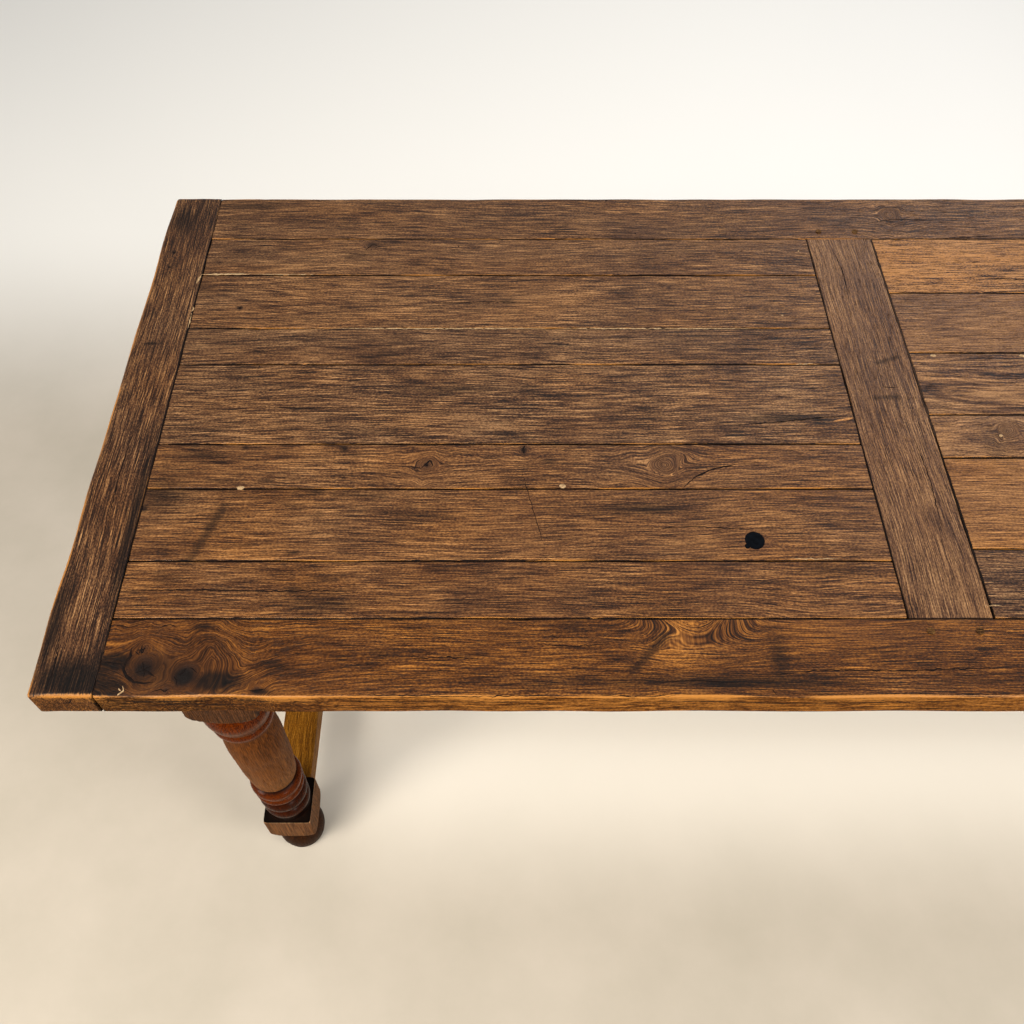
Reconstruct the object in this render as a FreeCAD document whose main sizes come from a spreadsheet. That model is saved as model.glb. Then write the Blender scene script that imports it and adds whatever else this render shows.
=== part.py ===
"""Farmhouse dining table in oak: a clamped and framed plank top on four turned legs.

Millimetres. The origin is on the floor under the middle of the top, X runs along the
table, Y from the front edge to the back edge, Z up.
"""

import FreeCAD
import Part
import os
import re
import Sketcher

doc = FreeCAD.newDocument("farmhouse_dining_table")

# Driving sizes, one cell each. Everything else is worked out from these.
SIZES = {
    # the whole table
    "table_length": 2000,
    "table_depth": 827,
    "table_height": 760,
    "top_thickness": 38,
    # boards of the top
    "end_board_width": 72,
    "front_rail_width": 94,
    "back_rail_width": 96,
    "cross_rail_width": 95,
    "board_gap": 0.8,
    "board_arris_width": 1.2,
    "worn_arris_radius": 5,
    "corner_radius": 9,
    # tongues of the planks
    "tongue_length": 9,
    "tongue_thickness": 10,
    "tongue_clearance": 0.3,
    "tongue_end_clearance": 0.9,
    # tenons of the rails
    "rail_tenon_length": 46,
    "rail_tenon_thickness": 12,
    "rail_shoulder_width": 15,
    "tenon_clearance": 0.2,
    "tenon_end_clearance": 0.8,
    # legs
    "leg_inset_length": 157,
    "leg_inset_depth": 97,
    "leg_block_width": 89,
    "upper_block_height": 160,
    "upper_pommel_height": 40,
    "lower_block_width": 75,
    "lower_block_height": 71,
    "lower_pommel_height": 20,
    "foot_height": 76,
    "block_turning_clearance": 0.6,
    # aprons
    "apron_thickness": 24,
    "apron_height": 112,
    "apron_setback_depth": 3,
    "apron_tenon_length": 50,
    "apron_tenon_thickness": 10,
    "apron_haunch_height": 20,
    "apron_shoulder_height": 12,
    # stretchers
    "stretcher_width": 58,
    "stretcher_height": 40,
    "stretcher_drop_height": 7,
    "stretcher_arris_width": 3,
    "stretcher_tenon_length": 45,
    "stretcher_tenon_thickness": 18,
    "stretcher_tenon_height": 28,
    "centre_tenon_length": 32,
    "centre_tenon_thickness": 14,
    "centre_tenon_width": 36,
    # bearers under the planks
    "bearer_width": 50,
    "bearer_height": 40,
    "bearer_tenon_length": 12,
    "bearer_tenon_height": 20,
    "bearer_tenon_width": 34,
    # pegs
    "peg_radius": 4.5,
    "peg_clearance": 0.15,
    "peg_cover_thickness": 8,
    "peg_setback_length": 18,
    "apron_peg_length": 38,
    "apron_peg_margin_height": 20,
    "stretcher_peg_length": 58,
    "cross_peg_offset": 27,
    "cross_peg_depth": 16,
    # turn buttons that hold the top down
    "button_width": 34,
    "button_length": 42,
    "button_height": 24,
    "button_lip_length": 9,
    "button_lip_thickness": 11,
    "button_clearance": 0.3,
}

# Widths of the planks from the front rail to the back rail, as shares of the plank field.
LEFT_PLANK_SHARES = (0.1178, 0.1617, 0.1088, 0.2133, 0.1062, 0.1679, 0.1243)
RIGHT_PLANK_SHARES = (0.1436, 0.2105, 0.1095, 0.1717, 0.1832, 0.1815)

# The turning between the blocks, from the upper block down: each point is a share of the
# turned length and a share of half the upper block.
TURNING_SHARES = (
    # torus under the block
    (1.000, 0.920),
    (0.975, 0.995),
    (0.912, 0.995),
    (0.885, 0.920),
    # thin ring and its fillet
    (0.868, 0.955),
    (0.826, 0.940),
    # shaft, swelling a little and ending in a sharp lip
    (0.800, 0.830),
    (0.575, 0.905),
    (0.328, 0.810),
    # cove and a pair of rings
    (0.312, 0.735),
    (0.297, 0.865),
    (0.266, 0.910),
    (0.238, 0.865),
    (0.213, 0.905),
    (0.188, 0.865),
    # two beads above the lower block
    (0.166, 0.755),
    (0.134, 0.855),
    (0.102, 0.755),
    (0.060, 0.840),
    (0.000, 0.780),
)

# The rounded pommels under the blocks: a share of the way from the block's corner to the
# turning, and a share of the pommel's height.
UPPER_POMMEL_SHARES = ((0.380, 0.320),)
LOWER_POMMEL_SHARES = ()

# The neck and bun foot, as shares of the foot's height and of half the upper block.
FOOT_SHARES = (
    (1.000, 0.800),
    (0.870, 0.640),
    (0.560, 0.860),
    (0.270, 0.900),
    (0.000, 0.690),
)

# Places along the aprons, as shares of half the span between the legs.
BEARER_PLACES = ("left", "middle", "right")
BEARER_PLACE_SHARES = (-0.551, 0, 0.551)
LONG_BUTTON_SHARES = (-0.80, -0.276, 0.276, 0.80)
SHORT_BUTTON_SHARES = (0,)
PEG_SIDES = 8

QUARTER_TURN = 90
FULL_TURN = 360
NEAR_SHARE = 0.01
LEFT_RIGHT = {"left": -1, "right": 1}
FRONT_BACK = {"front": -1, "back": 1}

# Lengths and heights that several pieces share.
UNDERSIDE = "(table_height - top_thickness)"
PLANK_FIELD = "(table_depth - front_rail_width - back_rail_width)"
FIELD_FRONT = "(front_rail_width - table_depth / 2)"
FIELD_BACK = "(table_depth / 2 - back_rail_width)"
RAIL_LENGTH = "(table_length - 2 * end_board_width)"
BAY_LENGTH = "((table_length - cross_rail_width) / 2 - end_board_width)"
LEG_X = "(table_length / 2 - leg_inset_length)"
LEG_Y = "(table_depth / 2 - leg_inset_depth)"
LONG_SPAN = f"(2 * {LEG_X} - leg_block_width)"
SHORT_SPAN = f"(2 * {LEG_Y} - leg_block_width)"
APRON_FACE = "(leg_block_width / 2 - apron_setback_depth)"
APRON_MIDDLE = f"({APRON_FACE} - apron_thickness / 2)"
APRON_BOTTOM = f"({UNDERSIDE} - apron_height)"
UPPER_BLOCK_BOTTOM = f"({UNDERSIDE} - upper_block_height)"
LOWER_BLOCK_TOP = "(foot_height + lower_block_height)"
TURNED_LENGTH = f"({UPPER_BLOCK_BOTTOM} - {LOWER_BLOCK_TOP})"
STRETCHER_TOP = f"({LOWER_BLOCK_TOP} - stretcher_drop_height)"
STRETCHER_MIDDLE = f"({STRETCHER_TOP} - stretcher_height / 2)"
STRETCHER_SPAN = f"(2 * {LEG_Y} - lower_block_width)"
CENTRE_SPAN = f"(2 * {LEG_X} - stretcher_width)"
APRON_GAP = f"(2 * ({LEG_Y} + {APRON_FACE} - apron_thickness))"
TONGUE_LOW = "((top_thickness - tongue_thickness) / 2)"
TONGUE_HIGH = "((top_thickness + tongue_thickness) / 2)"
GROOVE_LOW = f"({TONGUE_LOW} - tongue_clearance)"
GROOVE_HIGH = f"({TONGUE_HIGH} + tongue_clearance)"
GROOVE_DEPTH = "(tongue_length - board_gap + tongue_end_clearance)"
RAIL_TENON_LOW = "((top_thickness - rail_tenon_thickness) / 2)"
RAIL_TENON_HIGH = "((top_thickness + rail_tenon_thickness) / 2)"
RAIL_MORTISE = "(rail_tenon_length + tenon_end_clearance)"
ALIASES = re.compile(r"\b(" + "|".join(sorted(SIZES, key=len, reverse=True)) + r")\b")

sheet = doc.addObject("Spreadsheet::Sheet", "Sizes")
for row, (name, number) in enumerate(SIZES.items(), start=1):
    sheet.set(f"A{row}", name)
    sheet.set(f"B{row}", str(number))
    sheet.setAlias(f"B{row}", name)
doc.recompute()

nodes = []


def formula(text):
    """The text with each size name written as its cell in the sheet."""
    return ALIASES.sub(r"Sizes.\1", text)


def value(text):
    """The number that an expression of sizes has now."""
    return float(sheet.evalExpression(formula(text)))


def bind(thing, **expressions):
    """Binds properties to expressions of sizes, with __ in a name for a dot."""
    for name, text in expressions.items():
        thing.setExpression(name.replace("__", "."), formula(text))


def node(thing, label):
    """Names a finished piece, which also names its file."""
    thing.Label = label
    nodes.append(thing)
    return thing


def plane_of(body, role):
    """One of the body's own origin planes."""
    return next(feature for feature in body.Origin.OriginFeatures if feature.Role == role)


def pin(sketch, kind, edge, corner, text):
    """Fixes one coordinate of an outline's corner by an expression of sizes."""
    index = sketch.addConstraint(Sketcher.Constraint(kind, edge, corner, value(text)))
    sketch.setExpression(f"Constraints[{index}]", formula(text))


def add_outline(sketch, corners):
    """Adds a closed outline of straight runs, whose corners are pairs of expressions."""
    points = [FreeCAD.Vector(value(across), value(up), 0) for across, up in corners]
    first = sketch.GeometryCount
    count = len(corners)
    for index, point in enumerate(points):
        sketch.addGeometry(Part.LineSegment(point, points[(index + 1) % count]), False)
    for index, (across, up) in enumerate(corners):
        edge = first + index
        following = first + (index + 1) % count
        sketch.addConstraint(Sketcher.Constraint("Coincident", edge, 2, following, 1))
        pin(sketch, "DistanceX", edge, 1, across)
        pin(sketch, "DistanceY", edge, 1, up)


def sketch_on(body, name, role, outlines, height="0"):
    """A sketch of closed outlines on an origin plane, lifted along the plane's normal."""
    sketch = body.newObject("Sketcher::SketchObject", name)
    sketch.AttachmentSupport = (plane_of(body, role), [""])
    sketch.MapMode = "FlatFace"
    for corners in outlines:
        add_outline(sketch, corners)
    if height != "0":
        bind(sketch, AttachmentOffset__Base__z=height)
    return sketch


def rectangle(left, right, low, high):
    """The corners of an upright rectangle."""
    return [(left, low), (right, low), (right, high), (left, high)]


def pad_along(body, name, outline, length):
    """Pads a cross-section along the piece, half its length each way."""
    pad = body.newObject("PartDesign::Pad", name)
    pad.Profile = sketch_on(body, f"{name}Section", "YZ_Plane", [outline])
    pad.Midplane = True
    bind(pad, Length=length)
    return pad


def cut_up(body, name, outlines, low, high):
    """Cuts outlines of the XY plane out of the piece between two heights."""
    doc.recompute()
    before = body.Shape.Volume
    pocket = body.newObject("PartDesign::Pocket", name)
    pocket.Profile = sketch_on(body, f"{name}Plan", "XY_Plane", outlines, low)
    pocket.Reversed = True
    bind(pocket, Length=f"({high}) - ({low})")
    doc.recompute()
    if body.Shape.Volume >= before:
        raise ValueError(f"{name} cuts nothing from {body.Label}")
    return pocket


def round_edges(body, name, radius, wanted):
    """Rounds the edges of the piece whose every vertex passes the test."""
    doc.recompute()
    tip = body.Tip
    names = [
        f"Edge{number}"
        for number, edge in enumerate(tip.Shape.Edges, start=1)
        if all(wanted(vertex.Point) for vertex in edge.Vertexes)
    ]
    fillet = body.newObject("PartDesign::Fillet", name)
    fillet.Base = (tip, names)
    bind(fillet, Radius=radius)
    doc.recompute()


def new_body(name, x="0", y="0", z="0", turn=0):
    """A body placed by expressions and turned about the vertical."""
    body = doc.addObject("PartDesign::Body", name)
    body.Placement = FreeCAD.Placement(
        FreeCAD.Vector(), FreeCAD.Rotation(FreeCAD.Vector(0, 0, 1), turn)
    )
    bind(body, Placement__Base__x=x, Placement__Base__y=y, Placement__Base__z=z)
    return body


def near(number, text):
    """Whether a coordinate is at the place that an expression of sizes gives."""
    return abs(number - value(text)) < NEAR_SHARE * value("board_gap")


def board_section(width, groove_front=False, groove_back=False, tongue_front=False):
    """A top board's cross-section, with its front edge on the Z axis and its underside at zero."""
    arris = "board_arris_width"
    outline = [("0", "0"), (width, "0")]
    if groove_back:
        floor_of_groove = f"({width} - {GROOVE_DEPTH})"
        outline += [(width, GROOVE_LOW), (floor_of_groove, GROOVE_LOW)]
        outline += [(floor_of_groove, GROOVE_HIGH), (width, GROOVE_HIGH)]
    outline += [(width, f"top_thickness - {arris}"), (f"{width} - {arris}", "top_thickness")]
    outline += [(arris, "top_thickness"), ("0", f"top_thickness - {arris}")]
    if tongue_front:
        outline += [("0", TONGUE_HIGH), ("-tongue_length", TONGUE_HIGH)]
        outline += [("-tongue_length", TONGUE_LOW), ("0", TONGUE_LOW)]
    if groove_front:
        outline += [("0", GROOVE_HIGH), (GROOVE_DEPTH, GROOVE_HIGH)]
        outline += [(GROOVE_DEPTH, GROOVE_LOW), ("0", GROOVE_LOW)]
    return outline


def bar(x, y, z, radius, length, axis):
    """An eight-sided bar from a start point along an axis, by expressions of sizes."""
    prism = doc.addObject("Part::Prism", "Bar")
    turns = {
        "+x": FreeCAD.Rotation(FreeCAD.Vector(0, 1, 0), QUARTER_TURN),
        "-x": FreeCAD.Rotation(FreeCAD.Vector(0, 1, 0), -QUARTER_TURN),
        "+y": FreeCAD.Rotation(FreeCAD.Vector(1, 0, 0), -QUARTER_TURN),
        "-y": FreeCAD.Rotation(FreeCAD.Vector(1, 0, 0), QUARTER_TURN),
        "+z": FreeCAD.Rotation(),
    }
    prism.Polygon = PEG_SIDES
    prism.Placement = FreeCAD.Placement(FreeCAD.Vector(), turns[axis])
    bind(prism, Circumradius=radius, Height=length)
    bind(prism, Placement__Base__x=x, Placement__Base__y=y, Placement__Base__z=z)
    return prism


def peg_and_hole(x, y, z, length, axis):
    """A riven peg and the slightly larger bar that cuts its hole."""
    peg = bar(x, y, z, "peg_radius", length, axis)
    hole = bar(x, y, z, "peg_radius + peg_clearance", length, axis)
    return peg, hole


def group(label, things):
    """Separate solids of one kind in one node."""
    compound = doc.addObject("Part::Compound", label)
    compound.Links = things
    return node(compound, label)


def drilled(label, base, holes):
    """A piece with its peg holes and slots, as a named node."""
    tool = doc.addObject("Part::Compound", f"{label}_drills")
    tool.Links = holes
    cut = doc.addObject("Part::Cut", label)
    cut.Base = base
    cut.Tool = tool
    return node(cut, label)


# Pegs and their holes are placed first, because several pieces share each of them.
# Two pegs from below pin each rail tenon in its end board and stop short of the top.
corner_pegs = {}
for side, along in LEFT_RIGHT.items():
    for edge, across in FRONT_BACK.items():
        rail_width = f"{edge}_rail_width"
        rail_middle = f"{across} * (table_depth - {rail_width}) / 2"
        corner_pegs[side, edge] = [
            peg_and_hole(
                f"{along} * ({RAIL_LENGTH} + rail_tenon_length) / 2",
                f"{rail_middle} + {step} * {rail_width} / 5",
                UNDERSIDE,
                "top_thickness - peg_cover_thickness",
                "+z",
            )
            for step in (-1, 1)
        ]

# Two pegs through the top pin each tenon of the cross rail.
cross_pegs = {}
for edge, across in FRONT_BACK.items():
    inner_edge = FIELD_FRONT if edge == "front" else FIELD_BACK
    cross_pegs[edge] = [
        peg_and_hole(
            f"{step} * cross_peg_offset",
            f"{inner_edge} + {across} * cross_peg_depth",
            UNDERSIDE,
            "top_thickness",
            "+z",
        )
        for step in (-1, 1)
    ]

# Two pegs pin each apron tenon through the outer face of its leg, and one each stretcher tenon.
long_apron_pegs = {}
short_apron_pegs = {}
stretcher_pegs = {}
for side, along in LEFT_RIGHT.items():
    for edge, across in FRONT_BACK.items():
        leg_x = f"{along} * {LEG_X}"
        leg_y = f"{across} * {LEG_Y}"
        heights = [
            f"{APRON_BOTTOM} + apron_shoulder_height + apron_peg_margin_height",
            f"{UNDERSIDE} - apron_haunch_height - apron_peg_margin_height",
        ]
        long_apron_pegs[side, edge] = [
            peg_and_hole(
                f"{leg_x} - {along} * (leg_block_width / 2 - peg_setback_length)",
                f"{leg_y} + {across} * leg_block_width / 2",
                height,
                "apron_peg_length",
                "+y" if across < 0 else "-y",
            )
            for height in heights
        ]
        short_apron_pegs[side, edge] = [
            peg_and_hole(
                f"{leg_x} + {along} * leg_block_width / 2",
                f"{leg_y} - {across} * (leg_block_width / 2 - peg_setback_length)",
                height,
                "apron_peg_length",
                "+x" if along < 0 else "-x",
            )
            for height in heights
        ]
        stretcher_pegs[side, edge] = [
            peg_and_hole(
                f"{leg_x} + {along} * lower_block_width / 2",
                f"{leg_y} - {across} * (lower_block_width / 2 - peg_setback_length)",
                STRETCHER_MIDDLE,
                "stretcher_peg_length",
                "+x" if along < 0 else "-x",
            )
        ]

# One upright peg right through the bar pins each tenon of the centre stretcher.
centre_pegs = {
    side: [
        peg_and_hole(
            f"{along} * ({CENTRE_SPAN} / 2 + peg_setback_length)",
            "0",
            f"{STRETCHER_TOP} - stretcher_height",
            "stretcher_height",
            "+z",
        )
    ]
    for side, along in LEFT_RIGHT.items()
}


def holes(*pairs):
    """The drilling bars of some lists of pegs."""
    return [hole for pair in pairs for _, hole in pair]


def pegs(*pairs):
    """The pegs of some lists of pegs."""
    return [peg for pair in pairs for peg, _ in pair]


# Turn buttons: blocks screwed up into the top, each with a lip that hooks into an apron.
button_blocks = []
button_slots = {"front": [], "back": [], "left": [], "right": []}


def place_button(apron, middle, face, inward, along_x):
    """A button on the inner face of an apron. along_x is true where it reaches along X."""
    low = f"({UNDERSIDE} - button_height)"

    def block(reach_from, reach_to, half_width, bottom, top):
        box = doc.addObject("Part::Box", "ButtonBox")
        start = reach_from if inward > 0 else reach_to
        reach = f"({reach_to} - {reach_from}) * {inward}"
        side = f"{middle} - {half_width}"
        if along_x:
            bind(box, Length=reach, Width=f"2 * {half_width}", Height=f"{top} - {bottom}")
            bind(box, Placement__Base__x=start, Placement__Base__y=side)
        else:
            bind(box, Width=reach, Length=f"2 * {half_width}", Height=f"{top} - {bottom}")
            bind(box, Placement__Base__y=start, Placement__Base__x=side)
        bind(box, Placement__Base__z=bottom)
        return box

    half_width = "(button_width / 2)"
    tip = f"({face} + {inward} * button_length)"
    heel = f"({face} + {inward} * button_clearance)"
    lip_end = f"({face} - {inward} * button_lip_length)"
    slot_end = f"({lip_end} - {inward} * tongue_end_clearance)"
    lip_top = f"({low} + button_lip_thickness)"
    whole = doc.addObject("Part::Fuse", "Button")
    whole.Base = block(heel, tip, half_width, low, UNDERSIDE)
    whole.Tool = block(lip_end, tip, half_width, low, lip_top)
    whole.Refine = True
    button_blocks.append(whole)
    slot = block(
        slot_end,
        heel,
        "(button_width / 2 + button_clearance)",
        f"({low} - button_clearance)",
        f"({lip_top} + button_clearance)",
    )
    button_slots[apron].append(slot)


for edge, across in FRONT_BACK.items():
    for share in LONG_BUTTON_SHARES:
        place_button(
            edge, f"{share} * {LONG_SPAN} / 2", f"({across} * {APRON_GAP} / 2)", -across, False
        )
SHORT_APRON_INNER = f"({LEG_X} + {APRON_FACE} - apron_thickness)"
for side, along in LEFT_RIGHT.items():
    for share in SHORT_BUTTON_SHARES:
        place_button(
            side, f"{share} * {SHORT_SPAN} / 2", f"({along} * {SHORT_APRON_INNER})", -along, True
        )


# Clamped ends: full-depth boards with a stopped groove for the planks and two mortises.
for side, along in LEFT_RIGHT.items():
    body = new_body(
        f"end_board_{side}_board",
        x=f"{along} * (table_length / 2 - end_board_width)",
        z=UNDERSIDE,
        turn=-QUARTER_TURN * along,
    )
    section = rectangle("0", "end_board_width", "0", "top_thickness")
    pad_along(body, "Board", section, "table_depth")
    # turned to the left the board's own X runs to the back, and to the right it runs to the front
    low_end = FIELD_FRONT if along < 0 else f"-{FIELD_BACK}"
    high_end = FIELD_BACK if along < 0 else f"-{FIELD_FRONT}"
    cut_up(body, "Groove", [rectangle(low_end, high_end, "0", GROOVE_DEPTH)], GROOVE_LOW, GROOVE_HIGH)
    mortises = []
    for edge, across in FRONT_BACK.items():
        middle = f"{-across * along} * (table_depth - {edge}_rail_width) / 2"
        reach = f"({edge}_rail_width / 2 - rail_shoulder_width + tenon_clearance)"
        mortises.append(rectangle(f"{middle} - {reach}", f"{middle} + {reach}", "0", RAIL_MORTISE))
    cut_up(
        body,
        "Mortises",
        mortises,
        f"{RAIL_TENON_LOW} - tenon_clearance",
        f"{RAIL_TENON_HIGH} + tenon_clearance",
    )
    round_edges(
        body,
        "OuterCorners",
        "corner_radius",
        lambda point: near(point.y, "end_board_width") and near(abs(point.x), "table_depth / 2"),
    )
    round_edges(
        body,
        "WornArris",
        "worn_arris_radius",
        lambda point: near(point.z, "top_thickness")
        and (not near(point.y, "0") or near(abs(point.x), "table_depth / 2"))
        and point.y > -value("board_gap"),
    )
    drilled(f"end_board_{side}", body, holes(corner_pegs[side, "front"], corner_pegs[side, "back"]))

# Long rails: tenoned into the end boards, with a mortise for the cross rail.
for edge, across in FRONT_BACK.items():
    width = f"{edge}_rail_width"
    is_front = edge == "front"
    body = new_body(
        f"{edge}_rail_board",
        y="-table_depth / 2" if is_front else FIELD_BACK,
        z=UNDERSIDE,
    )
    section = board_section(width, groove_back=is_front, tongue_front=not is_front)
    pad_along(body, "Board", section, RAIL_LENGTH)
    tenon = rectangle(
        "rail_shoulder_width", f"{width} - rail_shoulder_width", RAIL_TENON_LOW, RAIL_TENON_HIGH
    )
    pad_along(body, "Tenons", tenon, f"{RAIL_LENGTH} + 2 * rail_tenon_length")
    reach = "(cross_rail_width / 2 - rail_shoulder_width + tenon_clearance)"
    inner = width if is_front else "0"
    floor_of_mortise = f"{width} - {RAIL_MORTISE}" if is_front else RAIL_MORTISE
    ends = (floor_of_mortise, inner) if is_front else (inner, floor_of_mortise)
    cut_up(
        body,
        "Mortise",
        [rectangle(f"-{reach}", reach, *ends)],
        f"{RAIL_TENON_LOW} - tenon_clearance",
        f"{RAIL_TENON_HIGH} + tenon_clearance",
    )
    if not is_front:
        notch = "(cross_rail_width / 2 + board_gap)"
        cut_up(
            body,
            "TongueNotch",
            [rectangle(f"-{notch}", notch, "-tongue_length", "0")],
            TONGUE_LOW,
            TONGUE_HIGH,
        )
    drilled(
        f"{edge}_rail",
        body,
        holes(corner_pegs["left", edge], corner_pegs["right", edge], cross_pegs[edge]),
    )

# Cross rail: grooved on both sides for the plank ends, tenoned into the long rails.
body = new_body(
    "cross_rail_board",
    x="cross_rail_width / 2",
    y=f"({FIELD_FRONT} + {FIELD_BACK}) / 2",
    z=UNDERSIDE,
    turn=QUARTER_TURN,
)
pad_along(
    body, "Board", board_section("cross_rail_width", groove_front=True, groove_back=True), PLANK_FIELD
)
tenon = rectangle(
    "rail_shoulder_width", "cross_rail_width - rail_shoulder_width", RAIL_TENON_LOW, RAIL_TENON_HIGH
)
pad_along(body, "Tenons", tenon, f"{PLANK_FIELD} + 2 * rail_tenon_length")
drilled("cross_rail", body, holes(cross_pegs["front"], cross_pegs["back"]))

# Planks: a tongue on the front edge and both ends, a groove along the back edge.
for side, along in LEFT_RIGHT.items():
    shares = LEFT_PLANK_SHARES if side == "left" else RIGHT_PLANK_SHARES
    total = sum(shares)
    start = 0
    for number, share in enumerate(shares, start=1):
        label = f"{side}_plank_{number}"
        body = new_body(
            f"{label}_board",
            x=f"{along} * (cross_rail_width + {BAY_LENGTH}) / 2",
            y=f"{FIELD_FRONT} + {start / total} * {PLANK_FIELD} + board_gap / 2",
            z=UNDERSIDE,
        )
        width = f"({share / total} * {PLANK_FIELD} - board_gap)"
        length = f"({BAY_LENGTH} - 2 * board_gap)"
        pad_along(body, "Board", board_section(width, groove_back=True, tongue_front=True), length)
        tongue = rectangle("0", f"{width} - {GROOVE_DEPTH}", TONGUE_LOW, TONGUE_HIGH)
        pad_along(body, "EndTongues", tongue, f"{length} + 2 * tongue_length")
        node(body, label)
        start += share

# Legs: turned from square blanks, so the blocks keep their flats and the pommels are round.


def pommel(corner, turning, top, bottom, shares):
    """The points of a rounded pommel, from a block's corner in and down to the turning."""
    points = [(corner, top)]
    for inward_share, height_share in shares:
        points.append(
            (
                f"{corner} + {inward_share} * ({turning} - {corner})",
                f"{top} + {1 - height_share} * ({bottom} - {top})",
            )
        )
    return points


def leg_outline():
    """Half of the turned leg, with radius across and height up."""
    half = "(leg_block_width / 2)"
    upper_corner = f"({half} * sqrt(2) + block_turning_clearance)"
    lower_corner = "(lower_block_width / 2 * sqrt(2) + block_turning_clearance)"
    upper_shoulder = f"({UPPER_BLOCK_BOTTOM} + upper_pommel_height)"
    lower_shoulder = f"(foot_height + lower_pommel_height)"
    turning = [
        (f"({radius} * {half})", f"({LOWER_BLOCK_TOP} + {height} * {TURNED_LENGTH})")
        for height, radius in TURNING_SHARES
    ]
    foot = [
        (f"({radius} * {half})", f"({height} * foot_height)")
        for height, radius in FOOT_SHARES
    ]
    outline = [("0", "0"), ("0", UNDERSIDE), (upper_corner, UNDERSIDE)]
    outline += pommel(upper_corner, turning[0][0], upper_shoulder, turning[0][1], UPPER_POMMEL_SHARES)
    outline += turning
    outline.append((lower_corner, LOWER_BLOCK_TOP))
    outline += pommel(lower_corner, foot[0][0], lower_shoulder, foot[0][1], LOWER_POMMEL_SHARES)
    outline += foot
    return outline


def square_about(width):
    """The corners of a square about the leg's axis."""
    return rectangle(f"-{width} / 2", f"{width} / 2", f"-{width} / 2", f"{width} / 2")


for edge, across in FRONT_BACK.items():
    for side, along in LEFT_RIGHT.items():
        label = f"leg_{edge}_{side}"
        body = new_body(f"{label}_turning", x=f"{along} * {LEG_X}", y=f"{across} * {LEG_Y}")
        turning = body.newObject("PartDesign::Revolution", "Turning")
        turning.Profile = sketch_on(body, "TurningProfile", "XZ_Plane", [leg_outline()])
        turning.ReferenceAxis = (turning.Profile[0], ["V_Axis"])
        turning.Angle = FULL_TURN
        doc.recompute()
        beyond = "(2 * leg_block_width)"
        cut_up(
            body,
            "UpperFlats",
            [square_about(beyond), square_about("leg_block_width")],
            UPPER_BLOCK_BOTTOM,
            UNDERSIDE,
        )
        cut_up(
            body,
            "LowerFlats",
            [square_about(beyond), square_about("lower_block_width")],
            "foot_height",
            LOWER_BLOCK_TOP,
        )
        # mortises open on the inner faces: one for each apron and one for the end stretcher
        inner_x = f"({-along} * leg_block_width / 2)"
        inner_y = f"({-across} * leg_block_width / 2)"
        depth = "(apron_tenon_length + tenon_end_clearance)"
        cheek = "(apron_tenon_thickness / 2 + tenon_clearance)"
        apron_low = f"{APRON_BOTTOM} + apron_shoulder_height - tenon_clearance"
        apron_high = f"{UNDERSIDE} - apron_haunch_height + tenon_clearance"
        long_x = sorted((inner_x, f"({inner_x} + {along} * {depth})"), key=value)
        long_y = f"({across} * {APRON_MIDDLE})"
        short_y = sorted((inner_y, f"({inner_y} + {across} * {depth})"), key=value)
        short_x = f"({along} * {APRON_MIDDLE})"
        cut_up(
            body,
            "ApronMortises",
            [
                rectangle(*long_x, f"{long_y} - {cheek}", f"{long_y} + {cheek}"),
                rectangle(f"{short_x} - {cheek}", f"{short_x} + {cheek}", *short_y),
            ],
            apron_low,
            apron_high,
        )
        block_y = f"({-across} * lower_block_width / 2)"
        stretcher_y = sorted(
            (block_y, f"({block_y} + {across} * (stretcher_tenon_length + tenon_end_clearance))"),
            key=value,
        )
        stretcher_cheek = "(stretcher_tenon_thickness / 2 + tenon_clearance)"
        cut_up(
            body,
            "StretcherMortise",
            [rectangle(f"-{stretcher_cheek}", stretcher_cheek, *stretcher_y)],
            f"{STRETCHER_MIDDLE} - stretcher_tenon_height / 2 - tenon_clearance",
            f"{STRETCHER_MIDDLE} + stretcher_tenon_height / 2 + tenon_clearance",
        )
        drilled(
            label,
            body,
            holes(
                long_apron_pegs[side, edge], short_apron_pegs[side, edge], stretcher_pegs[side, edge]
            ),
        )


def apron(label, x, y, span, turn):
    """An apron board on edge with a haunched tenon at each end."""
    body = new_body(f"{label}_board", x=x, y=y, z=APRON_BOTTOM, turn=turn)
    half = "apron_thickness / 2"
    pad_along(body, "Board", rectangle(f"-{half}", half, "0", "apron_height"), span)
    tenon = rectangle(
        "-apron_tenon_thickness / 2",
        "apron_tenon_thickness / 2",
        "apron_shoulder_height",
        "apron_height - apron_haunch_height",
    )
    pad_along(body, "Tenons", tenon, f"{span} + 2 * apron_tenon_length")
    doc.recompute()
    round_edges(
        body,
        "LowerArris",
        "board_arris_width",
        lambda point: near(point.z, "0"),
    )
    return body


for edge, across in FRONT_BACK.items():
    body = apron(f"apron_{edge}", "0", f"{across} * ({LEG_Y} + {APRON_MIDDLE})", LONG_SPAN, 0)
    mortises = []
    for share in BEARER_PLACE_SHARES:
        middle = f"{share} * {LONG_SPAN} / 2"
        reach = "(bearer_tenon_width / 2 + tenon_clearance)"
        face = f"({-across} * apron_thickness / 2)"
        span = sorted(
            (face, f"({face} + {across} * (bearer_tenon_length + tenon_clearance))"), key=value
        )
        mortises.append(rectangle(f"{middle} - {reach}", f"{middle} + {reach}", *span))
    bearer_middle = "(apron_height - bearer_height / 2)"
    cut_up(
        body,
        "BearerMortises",
        mortises,
        f"{bearer_middle} - bearer_tenon_height / 2 - tenon_clearance",
        f"{bearer_middle} + bearer_tenon_height / 2 + tenon_clearance",
    )
    drilled(
        f"apron_{edge}",
        body,
        holes(long_apron_pegs["left", edge], long_apron_pegs["right", edge]) + button_slots[edge],
    )

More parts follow.
